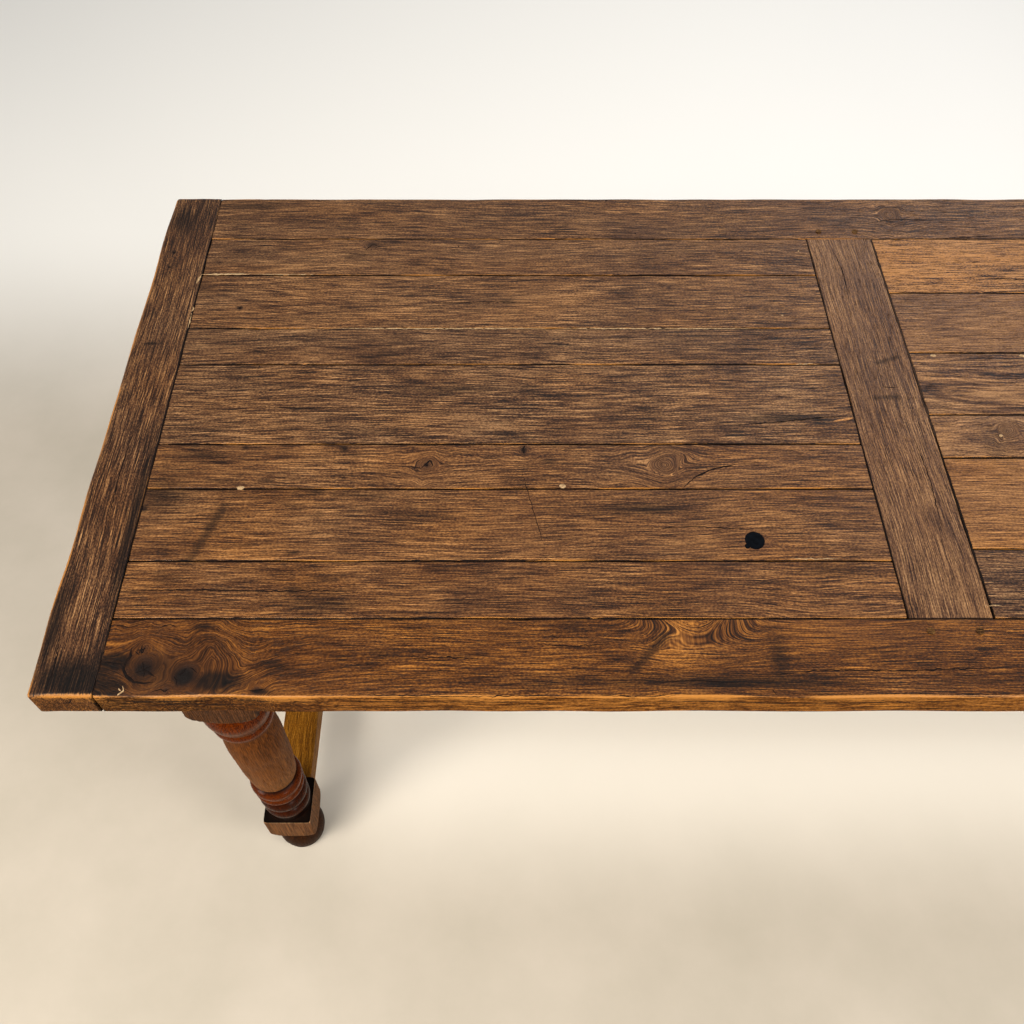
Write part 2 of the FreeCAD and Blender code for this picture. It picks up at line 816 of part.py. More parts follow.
for side, along in LEFT_RIGHT.items():
    body = apron(
        f"apron_{side}", f"{along} * ({LEG_X} + {APRON_MIDDLE})", "0", SHORT_SPAN, QUARTER_TURN
    )
    drilled(
        f"apron_{side}",
        body,
        holes(short_apron_pegs[side, "front"], short_apron_pegs[side, "back"]) + button_slots[side],
    )

# Bearers: cross battens under the planks, stub-tenoned into the long aprons.
for place, share in zip(BEARER_PLACES, BEARER_PLACE_SHARES):
    body = new_body(
        f"bearer_{place}_batten",
        x=f"{share} * {LONG_SPAN} / 2",
        z=f"{UNDERSIDE} - bearer_height",
        turn=QUARTER_TURN,
    )
    half = "bearer_width / 2"
    pad_along(body, "Batten", rectangle(f"-{half}", half, "0", "bearer_height"), APRON_GAP)
    tenon = rectangle(
        "-bearer_tenon_width / 2",
        "bearer_tenon_width / 2",
        "(bearer_height - bearer_tenon_height) / 2",
        "(bearer_height + bearer_tenon_height) / 2",
    )
    pad_along(body, "Tenons", tenon, f"{APRON_GAP} + 2 * bearer_tenon_length")
    node(body, f"bearer_{place}")


def stretcher(label, x, span, turn, tenon, tenon_length):
    """A stretcher with softened arrises and a tenon at each end."""
    body = new_body(f"{label}_bar", x=x, z=f"{STRETCHER_TOP} - stretcher_height", turn=turn)
    half = "stretcher_width / 2"
    arris = "stretcher_arris_width"
    section = [
        (f"-{half}", "0"),
        (half, "0"),
        (half, f"stretcher_height - {arris}"),
        (f"{half} - {arris}", "stretcher_height"),
        (f"{arris} - {half}", "stretcher_height"),
        (f"-{half}", f"stretcher_height - {arris}"),
    ]
    pad_along(body, "Bar", section, span)
    pad_along(body, "Tenons", tenon, f"{span} + 2 * {tenon_length}")
    return body


end_tenon = rectangle(
    "-stretcher_tenon_thickness / 2",
    "stretcher_tenon_thickness / 2",
    "(stretcher_height - stretcher_tenon_height) / 2",
    "(stretcher_height + stretcher_tenon_height) / 2",
)
centre_tenon = rectangle(
    "-centre_tenon_width / 2",
    "centre_tenon_width / 2",
    "(stretcher_height - centre_tenon_thickness) / 2",
    "(stretcher_height + centre_tenon_thickness) / 2",
)
for side, along in LEFT_RIGHT.items():
    label = f"end_stretcher_{side}"
    body = stretcher(
        label,
        f"{along} * {LEG_X}",
        STRETCHER_SPAN,
        QUARTER_TURN,
        end_tenon,
        "stretcher_tenon_length",
    )
    # turned a quarter, the bar's own Y runs to the left, so the inner face of the left bar is at -Y
    face = f"({along} * stretcher_width / 2)"
    span = sorted((face, f"({face} - {along} * (centre_tenon_length + tenon_end_clearance))"), key=value)
    reach = "(centre_tenon_width / 2 + tenon_clearance)"
    cut_up(
        body,
        "CentreMortise",
        [rectangle(f"-{reach}", reach, *span)],
        "(stretcher_height - centre_tenon_thickness) / 2 - tenon_clearance",
        "(stretcher_height + centre_tenon_thickness) / 2 + tenon_clearance",
    )
    drilled(
        label,
        body,
        holes(stretcher_pegs[side, "front"], stretcher_pegs[side, "back"], centre_pegs[side]),
    )

body = stretcher("centre_stretcher", "0", CENTRE_SPAN, 0, centre_tenon, "centre_tenon_length")
drilled("centre_stretcher", body, holes(centre_pegs["left"], centre_pegs["right"]))

# Groups of like small pieces.
group("corner_joint_pegs", pegs(*corner_pegs.values()))
group("cross_rail_pegs", pegs(*cross_pegs.values()))
group("apron_pegs", pegs(*long_apron_pegs.values(), *short_apron_pegs.values()))
group("stretcher_pegs", pegs(*stretcher_pegs.values(), *centre_pegs.values()))
group("top_buttons", button_blocks)

doc.recompute()

failed = [
    thing.Name for thing in doc.Objects if "Invalid" in thing.State or "Error" in thing.State
]
if failed:
    raise ValueError(f"failed objects: {failed}")
for piece in nodes:
    if piece.Shape.isNull() or not piece.Shape.isValid():
        raise ValueError(f"{piece.Label} has no valid shape")

os.makedirs("parts", exist_ok=True)
for piece in nodes:
    piece.Shape.exportStep(f"parts/{piece.Label}.step")
print(f"{len(nodes)} pieces written")
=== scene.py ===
# %% [markdown]
# # An old oak farmhouse table
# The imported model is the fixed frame: every size and place comes from it. This file
# dresses that frame: worn boards with their grain, turned legs, pegs, cracks, filler, and
# the light and camera to look at them. Everything is in metres, with the origin on the
# floor under the middle of the top.

# %% Load the frame
import math

import bmesh
import bpy
import numpy as np
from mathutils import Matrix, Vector
from mathutils.bvhtree import BVHTree


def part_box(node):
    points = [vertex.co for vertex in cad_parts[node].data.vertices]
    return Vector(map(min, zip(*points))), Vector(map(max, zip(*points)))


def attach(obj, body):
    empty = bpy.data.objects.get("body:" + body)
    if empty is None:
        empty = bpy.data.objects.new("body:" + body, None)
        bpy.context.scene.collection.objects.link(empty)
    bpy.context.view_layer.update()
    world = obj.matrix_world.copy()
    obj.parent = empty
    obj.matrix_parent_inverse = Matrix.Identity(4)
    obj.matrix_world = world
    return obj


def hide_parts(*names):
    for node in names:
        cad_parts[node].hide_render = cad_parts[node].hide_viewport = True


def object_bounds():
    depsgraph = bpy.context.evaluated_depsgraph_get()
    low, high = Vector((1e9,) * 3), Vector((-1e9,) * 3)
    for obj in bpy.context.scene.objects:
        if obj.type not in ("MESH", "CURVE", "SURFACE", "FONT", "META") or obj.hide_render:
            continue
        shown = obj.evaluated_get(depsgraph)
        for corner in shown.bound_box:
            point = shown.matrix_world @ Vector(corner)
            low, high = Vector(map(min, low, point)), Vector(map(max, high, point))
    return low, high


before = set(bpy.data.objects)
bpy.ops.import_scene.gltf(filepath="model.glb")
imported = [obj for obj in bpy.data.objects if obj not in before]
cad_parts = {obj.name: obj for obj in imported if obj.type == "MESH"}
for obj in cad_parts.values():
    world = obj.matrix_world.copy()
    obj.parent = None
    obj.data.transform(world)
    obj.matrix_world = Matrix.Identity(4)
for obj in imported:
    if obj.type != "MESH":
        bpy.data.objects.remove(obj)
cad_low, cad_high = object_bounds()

MM = 0.001
SCENE = bpy.context.scene
print("CAD box:", [round(x, 4) for x in (*cad_low, *cad_high)])

# %% [markdown]
# ## The camera
# The photograph looks down at the left half of the table from standing height. The place
# and the lens are worked out from the lines of the top, so that the same lines fall on
# the same spots of the picture.

# %% Camera
PHOTO_PIXELS = 1024
FOCAL_PIXELS = 976
CENTRE_PIXELS = 505
SENSOR = 36
LOOKING_DOWN = 55
EYE = (-0.4937, -0.8418, 1.710)
NEAREST = 0.05


def into_scene(name, data):
    """A new object, linked to the scene."""
    made = bpy.data.objects.new(name, data)
    SCENE.collection.objects.link(made)
    return made


camera_data = bpy.data.cameras.new("camera")
camera_data.sensor_width = SENSOR
camera_data.lens = FOCAL_PIXELS / PHOTO_PIXELS * SENSOR
camera_data.shift_x = (PHOTO_PIXELS / 2 - CENTRE_PIXELS) / PHOTO_PIXELS
camera_data.clip_start = NEAREST
camera = into_scene("camera", camera_data)
camera.location = EYE
camera.rotation_euler = (math.radians(90 - LOOKING_DOWN), 0, 0)
SCENE.camera = camera
print("lens", round(camera_data.lens, 2), "mm, shift", round(camera_data.shift_x, 4))

# %% [markdown]
# ## Nodes and colours
# A material or a Geometry Nodes tree is a handful of nodes with links between them. One
# helper adds a node, sets it and joins it up. Its inputs are given by name, or in order,
# each as a value, as a socket or as another node, which stands for its result. Colours are
# written as they look on a screen, in hex, and one function turns them into the linear
# values that Blender mixes.


# %% Helpers for nodes and colours
def linear(code):
    """An sRGB hex colour as linear red, green, blue and alpha."""
    parts = [int(code[i : i + 2], 16) / 255 for i in (0, 2, 4)]
    lit = [c / 12.92 if c <= 0.04045 else ((c + 0.055) / 1.055) ** 2.4 for c in parts]
    return (*lit, 1)


def add(tree, kind, inputs=(), stops=(), **settings):
    """Adds a node with its inputs. stops are a colour ramp's places and hex colours."""
    made = tree.nodes.new(kind)
    for name, setting in settings.items():
        setattr(made, name, setting)
    named = inputs if isinstance(inputs, dict) else dict(enumerate(inputs))
    for name, given in named.items():
        if isinstance(given, bpy.types.Node):
            given = next(output for output in given.outputs if output.enabled)
        if isinstance(given, bpy.types.NodeSocket):
            tree.links.new(given, made.inputs[name])
        else:
            made.inputs[name].default_value = given
    for number, (place, colour) in enumerate(stops):
        if number > 1:
            made.color_ramp.elements.new(place)
        made.color_ramp.elements[number].position = place
        made.color_ramp.elements[number].color = linear(colour)
    return made


def new_material(name):
    """An empty node material and its tree."""
    made = bpy.data.materials.new(name)
    made.use_nodes = True
    made.node_tree.nodes.clear()
    return made, made.node_tree


# the nodes that are used most, and how some of them are set
MATH, VECTOR_MATH = "ShaderNodeMath", "ShaderNodeVectorMath"
NOISE, RAMP = "ShaderNodeTexNoise", "ShaderNodeValToRGB"
RANGE, SMOOTH = "ShaderNodeMapRange", {"interpolation_type": "SMOOTHSTEP"}
MIX, COLOURS = "ShaderNodeMix", {"data_type": "RGBA"}
# a Mix node's inputs for the share and for two colours
SHARE, ONE, OTHER = 0, 6, 7
COORDINATES, PARTS = "ShaderNodeTexCoord", "ShaderNodeSeparateXYZ"
BUMP, SURFACE, RESULT = "ShaderNodeBump", "ShaderNodeBsdfPrincipled", "ShaderNodeOutputMaterial"
print("helpers ready")

# %% [markdown]
# ## Light, floor and background
# A plain level of light makes a colour render about as it is written: a pale sky all
# round for the soft part, two large lamps overhead for shadows and for the shine on worn
# edges, two wide ones behind, whose reflections grey the far boards a little, and two low
# ones in front for the upright faces and the legs.

# %% World
SKY = 0.38
world = bpy.data.worlds.new("soft_room")
SCENE.world = world
world.use_nodes = True
sky = world.node_tree
sky.nodes.clear()
background = add(sky, "ShaderNodeBackground", {"Strength": SKY, "Color": linear("ffffff")})
add(sky, "ShaderNodeOutputWorld", {"Surface": background})
print("sky at", SKY)

# %% Lamps
# place and size in m, power in watts, colour, and the spot that the lamp looks at
TABLE_MIDDLE, BACK_FLOOR = (-0.2, 0, 0.5), (0.0, 2.6, 0.0)
LAMPS = {
    "ceiling_left": ((-1.7, -1.5, 2.9), 1.3, 96, "fff6ea", TABLE_MIDDLE),
    "ceiling_right": ((1.8, -1.7, 2.9), 1.3, 78, "fffaf2", TABLE_MIDDLE),
    "window_back_right": ((1.7, 2.6, 3.0), 2.2, 45, "f2f5ff", TABLE_MIDDLE),
    "ceiling_back": ((0.0, 3.0, 2.8), 3.0, 26, "ffffff", BACK_FLOOR),
    "low_left": ((-2.8, -1.9, 0.95), 0.8, 34, "fff6ea", TABLE_MIDDLE),
    "low_right": ((1.1, -3.1, 1.0), 0.6, 24, "fff6ec", TABLE_MIDDLE),
}
for name, (place, size, power, colour, aim) in LAMPS.items():
    data = bpy.data.lights.new(name, "AREA")
    data.size = size
    data.energy = power
    data.color = linear(colour)[:3]
    lamp = into_scene(name, data)
    lamp.location = place
    lamp.rotation_euler = (Vector(aim) - lamp.location).to_track_quat("-Z", "Y").to_euler()
print("lamps:", ", ".join(LAMPS))

# %% Floor
# Polished concrete: pale, warm and only faintly mottled, so that it stays plain. It is
# paler behind the table, so that the top stands clear of it. Under the table it is a little
# paler too: painted light that lifts the table's shadow, as a room full of daylight would.
FLOOR_HALF = 12.0
floor_material, tree = new_material("pale_concrete")
place = add(tree, COORDINATES).outputs["Object"]
mottle = add(tree, NOISE, {"Vector": place, "Scale": 3.0, "Detail": 6.0, "Roughness": 0.62})
colour = add(tree, RAMP, (mottle,), stops=((0.3, "aaa293"), (0.7, "b8afa1")))
at = add(tree, PARTS, (place,)).outputs
behind = add(tree, RANGE, (at["Y"], 0.5, 1.3), **SMOOTH)
sides = []
for axis, near, far in (("X", 0.62, 1.1), ("Y", 0.1, 0.5)):
    away = add(tree, MATH, (at[axis],), operation="ABSOLUTE")
    sides.append(add(tree, RANGE, (away, near, far, 1.0, 0.0), **SMOOTH))
under = add(tree, MATH, sides, operation="MULTIPLY")
# the paler colour under the table is painted light over the table's shadow
for share, paler in ((behind, "e6e4de"), (under, "e6e0d4")):
    colour = add(tree, MIX, {SHARE: share, ONE: colour, OTHER: linear(paler)}, **COLOURS)
surface = add(tree, SURFACE, {"Base Color": colour, "Roughness": 0.55})
add(tree, RESULT, (surface,))
floor_mesh = bpy.data.meshes.new("floor")
floor_corners = ((-1, -1), (1, -1), (1, 1), (-1, 1))
floor_points = [(x * FLOOR_HALF, y * FLOOR_HALF, 0) for x, y in floor_corners]
floor_mesh.from_pydata(floor_points, [], [(0, 1, 2, 3)])
floor_mesh.materials.append(floor_material)
floor = into_scene("floor", floor_mesh)
print("floor", 2 * FLOOR_HALF, "m square")

# %% [markdown]
# ## How oak looks
# Oak is ring-porous: each year's early wood is a band of open pores that stain fills
# almost black, and the late wood between takes the stain as golden or red brown. Cut along
# the trunk, the bands become long streaks that bend round knots and close into arches. So
# every piece carries two attributes, worked out from where it sat in the tree: `grain`,
# the place along and across the fibres, and `ring`, the distance from the heart. The
# material then only has to stretch its noise along one and squeeze it across the other.


# %% A smooth random field
WAVES = 9


def waves(seed, size, *places):
    """A seeded sum of sine waves about `size` long, mostly between -1 and 1."""
    rng = np.random.default_rng(seed)
    total = 0
    for _ in range(WAVES):
        heading = rng.normal(size=len(places))
        heading /= np.linalg.norm(heading)
        length = size * rng.uniform(0.6, 1.7)
        phase = rng.uniform(0, 2 * math.pi)
        way = sum(h * p for h, p in zip(heading, places))
        total = total + np.sin(2 * math.pi / length * way + phase)
    return total / math.sqrt(2 * WAVES)


def fade(distance, reach):
    """1 at zero distance, falling smoothly to 0 at the reach."""
    share = np.clip(1 - np.abs(distance) / reach, 0, 1)
    return share * share * (3 - 2 * share)


def bell(distance, reach):
    """1 at zero distance, falling off on both sides and hardly anything at twice the reach."""
    return np.exp(-((distance / reach) ** 2))


print("a few waves:", np.round(waves(1, 0.1, np.linspace(0, 0.2, 4)), 2))


# %% Grain, ring and other attributes
# what else a piece can say at each vertex, for the material to read: lighter or darker,
# redder, part of a knot, dirty (the same mark also paints shade into joints and recesses),
# rubbed bare, polished, and how strong its grain is
MARKS = ("tone", "warm", "knot", "soot_and_shade", "rub", "polish", "bold", "figure")


def store(mesh, name, values):
    """Writes one number or one vector for each vertex."""
    values = np.asarray(values, np.float32)
    kind, field = ("FLOAT", "value") if values.ndim == 1 else ("FLOAT_VECTOR", "vector")
    attribute = mesh.attributes.get(name) or mesh.attributes.new(name, kind, "POINT")
    attribute.data.foreach_set(field, values.ravel())


def places_of(mesh):
    """The places of a mesh's vertices as an array."""
    flat = np.empty(len(mesh.vertices) * 3, np.float32)
    mesh.vertices.foreach_get("co", flat)
    return flat.reshape(-1, 3).astype(float)


def store_grain(
    mesh, seed, along, across, deep, heart, slope=0.012, wander=0.004,
    knots=(), bulges=(), ripples=(),
):
    """Writes `grain` and `ring` for a piece. heart is the tree's middle, across and deep.
    Fibres flow round each knot as water flows round a post, and turn into rings inside a
    ripple. Returns how strongly the figure arches at each vertex."""
    flow = np.array(across, float)
    arch = np.zeros_like(flow)
    for s, t, length, width, height in bulges:
        arch += height * bell(along - s, length) * bell(across - t, width)
    flow += 0.5 * arch
    arch = np.clip(np.abs(arch) / 0.02, 0, 1)
    for s, t, reach, one_sided in ripples:
        uneven = 1 + 0.08 * waves(seed + 8, 0.04, along, across)
        away = np.hypot(along - s, across - t) * uneven
        outside_middle = np.clip((away - 0.018) / 0.022, 0, 1)
        share = fade(away, reach) * outside_middle * np.clip((along - s) / 0.03 + one_sided, 0, 1)
        flow += share * (away - flow)
        arch = np.maximum(arch, 0.3 * share)
    for s, t, radius in knots:
        uneven = 1 + 0.22 * waves(seed + 6, 2.2 * radius, along, across)
        away = np.hypot(along - s, across - t) * uneven
        flow -= (across - t) * (1.5 * radius) ** 2 / (away**2 + 0.9 * radius**2)
        inside = fade(away, 1.4 * radius)
        swirl = 0.25 * radius * waves(seed + 7, 2 * radius, along, across)
        flow += inside * (0.6 * away + swirl - flow)
    lift = slope * along + wander * waves(seed, 0.55, along)
    lift = lift + 0.35 * wander * waves(seed + 1, 0.16, along, flow)
    away = np.hypot(flow - heart[0], deep - heart[1])
    # boards cut near the heart cross their rings at a low angle: keep the lines as close there
    steepness = max(0.3, np.mean(np.abs(flow - heart[0]) / away))
    # seeds shift the noise, so that no two pieces share their streaks
    store(mesh, "grain", np.stack([along + seed * 0.731, flow + lift, deep], axis=1))
    store(mesh, "ring", (away + lift) / steepness + seed * 0.057)
    return arch


print("attributes:", ", ".join(("grain", "ring", *MARKS)))

# %% [markdown]
# ## The oak material
# One recipe, used for every oak piece with its own palette: the streaks of the year rings,
# the fine fibres, short dark pores, cloudy patches of old stain, dirt, painted shade in the
# joints and recesses, knots, and a golden line where hands and cloths have rubbed the stain
# off the edges. The satin comes from beeswax: a fairly smooth surface that is rougher in the
# pores. Real pores are 0.3 mm wide, too fine to show in a picture of the whole table, so they
# are drawn near 1 mm.


# %% Oak
WARM = (1.0, 0.72, 0.28, 1)
SOOT_AND_SHADE_TINT = (0.09, 0.09, 0.105, 1)
UNTINTED = (1, 1, 1, 1)
SHADES = (0.22, 0.38, 0.50, 0.62, 0.78)


def oak(
    name, palette, worn, shine=0.42, specular=0.15, pores=0.45, cloud=1.0, contrast=1.0,
    relief=0.35, gloss=UNTINTED, own_grain=True,
):
    """Waxed old oak. palette runs from the darkest streak to the lightest, and gloss is what
    colours the most polished parts. own_grain says that the piece carries its grain; a
    small solid takes it from the object's axes."""
    made, tree = new_material(name)
    carried = {
        mark: add(tree, "ShaderNodeAttribute", attribute_name=mark).outputs
        for mark in (*MARKS, *(("grain", "ring") if own_grain else ()))
    }
    tone, warm, knot, soot_and_shade, rub, polish, bold, figure = (carried[mark]["Fac"] for mark in MARKS)

    def stretched(x, y, z, detail, roughness=0.5):
        """Noise on the fibre coordinates, with so many hills a metre each way."""
        pairs = (fibre["X"], x), y, (fibre["Z"], z)
        scaled = [add(tree, MATH, pair, operation="MULTIPLY") for pair in pairs]
        return add(tree, NOISE, {
            "Vector": add(tree, "ShaderNodeCombineXYZ", scaled), "Scale": 1.0,
            "Detail": detail, "Roughness": roughness,
        })

    def sum_of(*terms):
        """Adds value times weight for each pair, from a starting number."""
        total = terms[0]
        for value, weight in terms[1:]:
            total = add(tree, MATH, (value, weight, total), operation="MULTIPLY_ADD")
        return total

    if own_grain:
        fibre = add(tree, PARTS, (carried["grain"]["Vector"],)).outputs
        ring = carried["ring"]["Fac"]
    else:
        fibre = add(tree, PARTS, (add(tree, COORDINATES).outputs["Object"],)).outputs
        ring = sum_of(fibre["Y"], (fibre["Z"], 0.6))
        bold = figure = 1.0

    # the fibres step aside by half a millimetre every 15 mm, so that no line is ruled
    aside = stretched(50.0, (fibre["Y"], 150.0), 160.0, 1.0)
    across = sum_of(fibre["Y"], (aside, 0.0018))
    ring = sum_of(ring, (aside, 0.0030))

    # year rings: soft bands 16 mm apart, lines 6 mm apart and fine lines 3 mm apart
    years = stretched(5.0, (ring, 125.0), 30.0, 3.0, 0.6)
    lines = stretched(9.0, (ring, 340.0), 60.0, 2.0, 0.6)
    fine = stretched(10.0, (ring, 760.0), 200.0, 1.0)
    # fibres 2.2 mm apart, hairs 1.5 mm apart, and pores 1.3 mm wide and 12 mm long
    fibres = stretched(10.0, (across, 930.0), 500.0, 1.0, 0.6)
    hairs = stretched(27.0, (across, 1450.0), 900.0, 0.0)
    pore_noise = stretched(85.0, (across, 760.0), 900.0, 0.0)
    # clouds of stain, 110 mm by 60 mm, and mottling 4 mm across
    clouds = stretched(8.0, (across, 15.0), 12.0, 4.0, 0.62)
    mottle = stretched(330.0, (across, 600.0), 400.0, 1.0, 0.6)

    # bold is how strongly a board shows its grain, and figure how strongly its year rings
    figure = add(tree, MATH, (figure, bold), operation="MULTIPLY")
    rings = ((years, 0.24), (lines, 0.18))
    grains = (
        (fine, 0.40), (fibres, 0.48), (hairs, 0.98), (clouds, 0.28 * cloud), (mottle, 0.62),
    )
    bright = sum_of(0.5, (tone, 1.0))
    for layers, share in ((rings, figure), (grains, bold)):
        middle = -0.5 * contrast * sum(weight for _, weight in layers)
        layer = sum_of(middle, *((noise, weight * contrast) for noise, weight in layers))
        bright = sum_of(bright, (layer, share))
    colour = add(tree, RAMP, (bright,), stops=zip(SHADES, palette))

    # pores gather in the darker lines
    early = add(tree, RANGE, (lines, 0.58, 0.42, 0.35, 1.0), **SMOOTH)
    pore = add(tree, RANGE, (pore_noise, 0.43, 0.33), **SMOOTH)
    pore = add(tree, MATH, (pore, early), operation="MULTIPLY")
    # dirt and iron stain, and the painted shade of joints and recesses, are broken up by the grain,
    # and so is the wood rubbed bare
    sooty_and_shaded = sum_of(-0.75, (soot_and_shade, 1.25), (years, 0.4), (clouds, 0.5), (fibres, 0.4))
    sooty_and_shaded = add(tree, RANGE, (sooty_and_shaded, 0.05, 0.9, 0.0, 0.93), **SMOOTH)
    rubbed = sum_of(
        -1.35, (rub, 1.25), (clouds, 0.8), (lines, 0.5), (fibres, 0.7), (mottle, 0.3),
    )
    rubbed = add(tree, RANGE, (rubbed, 0.15, 0.75, 0.0, 0.85), **SMOOTH)
    for share, tint, blend in (
        # some boards took a redder stain, and the most polished turnings are darker and redder
        (warm, WARM, "MULTIPLY"),
        (polish, gloss, "MULTIPLY"),
        (add(tree, MATH, (pore, pores), operation="MULTIPLY"), linear("1a100b"), "MIX"),
        # knots: dark red-brown cores with black rims
        (add(tree, RANGE, (knot, 0.1, 0.9, 0.0, 0.85), **SMOOTH), linear("1f110b"), "MIX"),
        # dirt, and shade painted into the joints and recesses, darken the wood here
        (sooty_and_shaded, SOOT_AND_SHADE_TINT, "MULTIPLY"),
        # worn edges: golden where the stain is rubbed off, in streaks
        (rubbed, linear(worn), "MIX"),
    ):
        mixed = {SHARE: share, ONE: colour, OTHER: tint}
        colour = add(tree, MIX, mixed, blend_type=blend, **COLOURS)

    rough = sum_of(
        shine, (pore, 0.25), (mottle, 0.12), (rubbed, -0.06), (polish, -0.28), (sooty_and_shaded, 0.10),
    )
    height = sum_of(
        0.0, (lines, 0.30), (fine, 0.2), (fibres, 0.25), (pore, -0.75), (mottle, 0.35),
        (knot, -0.2),
    )
    strength = sum_of(relief, (polish, -0.85 * relief))
    bump = add(tree, BUMP, {"Strength": strength, "Distance": 0.0012, "Height": height})
    surface = add(tree, SURFACE, {
        "Base Color": colour, "Roughness": rough, "Normal": bump,
        "IOR": 1.5, "Specular IOR Level": specular,
    })
    add(tree, RESULT, (surface,))
    return made


# %% The finishes of the oak
# Cloths reach the top and the turnings, and leave the sides and the flats without polish.
# The bare wood under the top was never stained, and the pegs show their dark end grain.
TOP = (("120b08", "372215", "5c3f29", "7c5b3b", "a57e57"), "a87032")
TURNED = (("140a04", "331d0d", "56371f", "6f4928", "8b6137"), "b98f66")
BARE = (("3b2a1c", "5d4631", "7d6245", "997c5a", "b39a76"), "a58a64")
APRON = (("22140c", "48301b", "6b4828", "8a6136", "a97c48"), "9a6c3c")
STRETCHER = (("2f1a07", "52300a", "69400c", "7f5214", "996a22"), "a87c3c")
PEG = (("1e120a", "33200f", "4a3018", "614423", "7a5a31"), "9c6a30")
EVEN = {"cloud": 0.6, "contrast": 0.8, "relief": 0.12}
GLOSS = (0.80, 0.46, 0.14, 1)
top_oak = oak("waxed_stained_oak", *TOP)
dull_edge_oak = oak("unpolished_oak_edges", *TOP, shine=0.6, specular=0.03)
turned_oak = oak(
    "polished_turned_oak", *TURNED, shine=0.46, specular=0.07, pores=0.1, gloss=GLOSS, **EVEN,
)
dull_turned_oak = oak(
    "rubbed_turned_oak", *TURNED, shine=0.55, specular=0.05, pores=0.12, **EVEN,
)
apron_oak = oak(
    "stained_apron_oak", *APRON, shine=0.5, specular=0.06, pores=0.2, contrast=0.8, relief=0.25,
)
stretcher_oak = oak(
    "rubbed_stretcher_oak", *STRETCHER, shine=0.4, specular=0.05, cloud=0.5, contrast=0.7,
    relief=0.2,
)
under_oak = oak("bare_old_oak", *BARE, shine=0.7, specular=0.2)
button_oak = oak("bare_old_oak_blocks", *BARE, shine=0.7, specular=0.2, own_grain=False)
peg_oak = oak("end_grain_peg_oak", *PEG, shine=0.55, specular=0.05, own_grain=False)
print("oak finishes:", [m.name for m in bpy.data.materials if "oak" in m.name])

# %% [markdown]
# ## A worn board
# A new board is a box. An old one has soft edges that wander, a top that has cupped and
# worn, and small differences in height from its neighbours. The mesh is a box of many
# small faces, packed closer over the edges: each point near an edge is pulled onto a
# rounded arris, and then the whole top is let down by a smooth random amount. Nothing is
# ever moved outwards, so a board never leaves the space that it has in the frame.


# %% Lines across a box with rounded edges
# where the mesh lines of a rounded edge lie, as shares of its radius
TURNS = 1 - np.tan(np.radians([45, 36, 26, 14, 0]))


def lines_between(length, low_radius, high_radius, step):
    """Places of mesh lines: close over each rounded edge, and even between them."""
    low = low_radius * TURNS
    high = length - (high_radius * TURNS)[::-1]
    count = max(1, round((high[0] - low[-1]) / step))
    return np.concatenate([low, np.linspace(low[-1], high[0], count + 1)[1:-1], high])


print("lines over a 5 mm arris:", np.round(lines_between(0.05, 0.005, 0.005, 0.01)[:5] / MM, 2))


